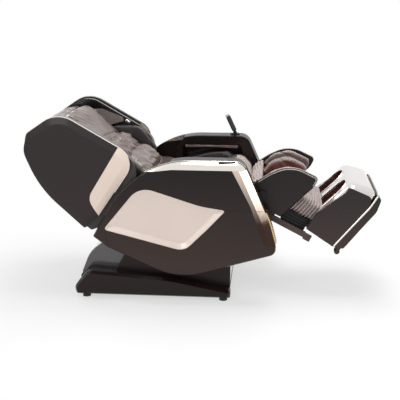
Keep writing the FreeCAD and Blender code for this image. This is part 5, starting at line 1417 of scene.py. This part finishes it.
@dataclass
class Foot:
    """The sliding foot rest: pleated bellows, ribbed guards, bright well rims and a trim line."""

    well_side: float = 122.0
    well_half: float = 80.0
    well_ends: tuple[float, float] = (28.0, 264.0)
    well_bend: float = 76.0
    face_run: float = 78.0
    face_rise: float = 232.0
    face_start: Place = (322.6, 52.0)
    rim_radius: float = 5.2
    pleats: int = 7
    middle: float = 47.0
    bellows_half: Place = (216.0, 42.0)
    fold_rise: Place = (13.0, 11.0)
    leg_end: Place = (192.0, 34.0)
    foot_end: Place = (319.0, 21.0)
    slope_foot: float = -2.0
    slope_height: float = 102.0
    stretch_from: float = 205.0
    stretch_to: float = 326.0
    guard_ends: tuple[float, float] = (176.0, 314.0)
    guard: Outline = Outline(((164, -66, 2), (222, -66, 2), (222, -1, 2), (164, -1, 2)))
    guard_ribs: int = 15
    guard_rise: float = 2.6
    sole: Outline = Outline(((490, -61, 6), (541, -43, 16), (567, 95, 300), (592, 215, 70),
                             (580, 286, 34), (557, 294, 10), (551, 215, 80), (524, 95, 200)))
    trim_ends: tuple[Place, Place] = ((556, 290), (490, -58))
    trim_half: float = 262.5
    trim_radius: float = 4.6
    trim_bow: float = 10.0

    def bellows(self) -> Array:
        """The bellows between calf rest and foot rest.

        Each ring is a rounded rectangle; its size follows a rectified cosine along the slide,
        and its plane slants from the calf pad's end to the foot rest's face.

        Returns:
            (rows, N, 3) rings.
        """
        share = np.linspace(0, 1, 120)[:, None]
        turn = np.linspace(0, 2 * np.pi, 160, endpoint=False)[None]
        wide = np.sign(np.cos(turn)) * np.abs(np.cos(turn)) ** 0.28
        tall = np.sign(np.sin(turn)) * np.abs(np.sin(turn)) ** 0.34
        fold = np.abs(np.cos(np.pi * self.pleats * share + 0.5 * tall)) ** 0.7
        sag = 3 * np.sin(5 * turn + 9 * share) * (1 - np.abs(2 * share - 1))
        across = wide * (self.bellows_half[0] + self.fold_rise[0] * fold)
        up = self.middle + tall * (self.bellows_half[1] + self.fold_rise[1] * fold) + sag
        height = (up - self.slope_foot) / self.slope_height
        begin = self.leg_end[0] + self.leg_end[1] * height
        end = self.foot_end[0] + self.foot_end[1] * height
        return np.stack((begin + (end - begin) * share, across, up), axis=-1)

    def slide_guard(self, count: int = 120, rows: int = 8) -> Array:
        """The black rubber guard round one slide, whose faces have long ribs.

        Args:
            count: how many points go round it.
            rows: how many rings it has along the slide.

        Returns:
            (rows, count, 3) rings: the section, its points out by the upper half of a sine.
        """
        path = np.linspace(*self.guard_ends, rows)
        section = evenly(self.guard.points(spacing=2.0), count)
        turn = np.linspace(0, 2 * np.pi, count, endpoint=False)
        ribs = self.guard_rise * np.clip(np.sin(turn * self.guard_ribs), 0, 1)
        section = section + outward(section) * ribs[:, None]
        return np.stack((np.broadcast_to(path[:, None], (rows, count)),
                         np.broadcast_to(section[:, 0], (rows, count)),
                         np.broadcast_to(section[:, 1], (rows, count))), axis=-1)

    def rim(self, side: float) -> Array:
        """The bright bead round one well's mouth: a stadium laid on the foot rest's face.

        Its place along grows from face_start by face_run for each face_rise up.

        Args:
            side: the level across of the well's middle.

        Returns:
            (N, sides, 3) rings.
        """
        left, right = side - self.well_half, side + self.well_half
        low, high = self.well_ends
        bend = self.well_bend
        mouth = Outline(((left, low, bend), (right, low, bend), (right, high, bend),
                         (left, high, bend))).points(spacing=5.0)
        start, foot = self.face_start
        along = start + (mouth[:, 1] - foot) * self.face_run / self.face_rise
        path = np.stack((along, mouth[:, 0], mouth[:, 1]), axis=1)
        return tube(path, self.rim_radius, (-self.face_rise, 0, self.face_run), closed=True,
                    sides=14, flatten=0.55)

    def build(self) -> None:
        """Makes the bellows, the guards, the rims and the trim round the sole."""
        bellows = Surface(Stand.LEG).skin(self.bellows())
        bellows = bellows.piece("foot_bellows", None, (Finishes.PLEATED,), ("foot_gusset",))
        ends = Stand.LEG.world(np.array(((self.stretch_from, 0, self.middle),
                                         (self.stretch_to, 0, self.middle))))
        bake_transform(bellows)
        guards = Surface(Stand.LEG).skin(self.slide_guard()).both()
        guards = guards.piece("foot_slide_guards", None, (Finishes.PLASTIC,))
        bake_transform(guards)
        rims = Surface(Stand.LEG)
        for side in SIDES:
            rims.skin(self.rim(side * self.well_side), ends=False, ring=True)
        rims.piece("foot_well_rims", "foot", (Finishes.CHAMPAGNE,))
        trim = Surface(Stand.LEG)
        edge = stretch_of(self.sole, *self.trim_ends, 2.0)[::-1]
        for side in SIDES:
            trim.skin(tube(standing(edge, side * self.trim_half), self.trim_radius, flatten=0.5))
        over = np.linspace(-self.trim_half, self.trim_half, 60)
        bow = self.trim_bow * (1 - (np.abs(over) / self.trim_half) ** 8)
        path = np.stack((np.full(60, edge[-1, 0] - 0.5), over, edge[-1, 1] + bow), axis=1)
        trim.skin(tube(path, self.trim_radius, (1, 0, 0), flatten=0.6))
        trim.piece("foot_bright_trim", "foot", (Finishes.CHAMPAGNE,), ("foot_trim",))


@dataclass
class Details:
    """The tablet's glass and the bright lips of the rear cover."""

    cover: Outline = Outline(((-646, 112, 6), (-598, 234, 170), (-520, 296, 70),
                              (-402, 296, 10), (-402, 118, 4)))
    lip: Bead = Bead((-402, 290), (-640, 120), 0.6, 260.0, 2.6)
    glass: Outline = Outline(((-27, 20, 5), (27, 20, 5), (27, 100, 5), (-27, 100, 5)))
    glass_levels: tuple[float, float] = (12.5, 13.9)
    hinge: Corner = (156.0, 366.0, 793.0)
    lean: float = -25.0
    yaw: float = 10.0

    def screen(self) -> Array:
        """The tablet's glass: a rounded plate, leant back and then turned about its hinge.

        Returns:
            (rows, N, 3) rings.
        """
        flat = plate(self.glass.points(spacing=2.0), *self.glass_levels, 1.2, 0.9)
        ahead, across, up = -flat[..., 1], flat[..., 0], flat[..., 2]
        lean, yaw = np.radians(self.lean), np.radians(self.yaw)
        out = ahead * np.cos(lean) + up * np.sin(lean)
        rise = up * np.cos(lean) - ahead * np.sin(lean)
        return np.stack((self.hinge[0] + out * np.cos(yaw) - across * np.sin(yaw),
                         self.hinge[1] + out * np.sin(yaw) + across * np.cos(yaw),
                         self.hinge[2] + rise), axis=-1)

    def build(self) -> None:
        """Makes the glass and the lips."""
        glass = Surface().skin(self.screen())
        glass.piece("tablet_glass", "screen", (Finishes.GLASS,))
        lips = Surface()
        for side in SIDES:
            lips.skin(self.lip.rings(self.cover, side))
        lips.piece("rear_cover_lips", "base", (Finishes.CHAMPAGNE,))


# ---------------------------------------------------------------------------------------
# Room
# ---------------------------------------------------------------------------------------


@dataclass(frozen=True)
class PaleFloor(Finish):
    """A pale floor that stays white where it is seen, apart from the chair's shadow."""

    light: Colour = (0.9, 0.9, 0.9)
    near: float = 0.9
    far: float = 3.2
    glow: float = 0.6

    def dress(self, bench: Bench) -> None:
        """Seen rays get a white glow that grows with the squared distance from the chair.

        Args:
            bench: where the shader's nodes go.
        """
        bench.finish(Base_Color=bench.mix(bench.noise(400, 3), self.colour, self.light),
                     Roughness=0.6)
        across, along, _ = bench.axes()
        away = (across * across + along * along).step(self.near, self.far)
        share = bench.seen() * (self.glow + (1 - self.glow) * away)
        painted = Value(bench, bench.tree.nodes["Principled BSDF"].outputs[0])
        bench.cover(share, painted, bench.out("ShaderNodeEmission", {}, {"Strength": 1.0}),
                    "Material Output")


def aimed(made: bpy.types.Object, place: Corner, target: Corner) -> None:
    """Puts a lamp or camera at a place, pointing at a target, into the scene.

    Args:
        made: the lamp or camera.
        place, target: where it stands and what it points at, in metres.
    """
    made.location = place
    away = Vector(target) - Vector(place)
    made.rotation_euler = away.to_track_quat("-Z", "Y").to_euler()
    bpy.context.scene.collection.objects.link(made)


@dataclass(frozen=True)
class Lamp:
    """A soft rectangular lamp that points at the chair."""

    name: str
    place: Corner
    aim: Corner
    width: float
    height: float
    power: float

    def build(self) -> None:
        """Adds the lamp."""
        light = bpy.data.lights.new(self.name, "AREA")
        light.shape = "RECTANGLE"
        light.size, light.size_y, light.energy = self.width, self.height, self.power
        aimed(bpy.data.objects.new(self.name, light), self.place, self.aim)


@dataclass(frozen=True)
class Studio:
    """The white room: floor, sky, lamps and the photograph's camera."""

    eye: Corner = (0.3559, -4.571, 1.696)
    target: Corner = (-0.0441, 0.0, 0.467)
    lens: float = 76.05
    sensor: float = 36.0
    sight: float = 60.0
    floor_half: float = 14.0
    pale: PaleFloor = PaleFloor("pale_floor", (0.86, 0.86, 0.86))
    white: Colour = (1.0, 1.0, 1.0)
    sky_light: float = 0.4
    lamps: tuple[Lamp, ...] = (
        Lamp("overhead_lamp", (0.5, 0.2, 3.2), (0, 0, 0.4), 2.6, 1.2, 82.0),
        Lamp("front_lamp", (-1.6, -3.6, 2.0), (0, 0, 0.45), 1.6, 1.8, 30.0),
        Lamp("right_lamp", (3.2, -1.4, 1.7), (0.3, 0, 0.5), 1.0, 1.8, 26.0),
        Lamp("rear_lamp", (-2.6, 2.2, 2.2), (-0.3, 0, 0.6), 1.6, 1.4, 26.0),
    )

    def sky(self) -> None:
        """A white sky where it is seen, and a weaker one for what it lights."""
        world = bpy.data.worlds.new("studio_sky")
        world.use_nodes = True
        bench = Bench(world.node_tree)
        soft, full = (bench.out("ShaderNodeBackground", {},
                                {"Color": self.white, "Strength": strength})
                      for strength in (self.sky_light, 1.0))
        bench.cover(bench.seen(), soft, full, "World Output")
        bpy.context.scene.world = world

    def floor(self) -> None:
        """One large pale square under the chair."""
        half = self.floor_half
        mesh = bpy.data.meshes.new("studio_floor")
        mesh.from_pydata([(-half, -half, 0), (half, -half, 0), (half, half, 0),
                          (-half, half, 0)], [], [(0, 1, 2, 3)])
        mesh.materials.append(self.pale.material())
        made = bpy.data.objects.new("studio_floor", mesh)
        bpy.context.scene.collection.objects.link(made)

    def camera(self) -> None:
        """The photograph's viewpoint."""
        data = bpy.data.cameras.new("camera")
        data.lens, data.sensor_width, data.clip_end = self.lens, self.sensor, self.sight
        made = bpy.data.objects.new("camera", data)
        aimed(made, self.eye, self.target)
        bpy.context.scene.camera = made

    def build(self) -> None:
        """Sets up the whole room."""
        self.sky()
        self.floor()
        for lamp in self.lamps:
            lamp.build()
        self.camera()
        bpy.context.scene.view_settings.view_transform = "Standard"


def dress_nodes() -> None:
    """Gives each CAD node the finish that its slot or its own name asks for."""
    slots = {}
    for entry in frame["record"]["materials"]:
        for name in entry.get("nodes", []):
            slots[name] = entry["slot"]
    for name, node in frame["nodes"].items():
        slot = slots.get(name) or node.material_slots[0].material.name.split(".")[0]
        finish = NODE_FINISH.get(name) or SLOT_FINISH[slot]
        for place in node.material_slots:
            place.material = finish.value.material()
        log.info("%s: %s", name, finish.name.lower())


def main() -> None:
    """Builds the chair's looks in order, then the room."""
    logging.basicConfig(level=logging.INFO, format="%(name)s %(message)s")
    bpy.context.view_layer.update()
    dress_nodes()
    for assembly in (Seat(), Arms(), Back(), Leg(), Foot(), Details()):
        assembly.build()
    Studio().build()


if __name__ == "__main__":
    main()
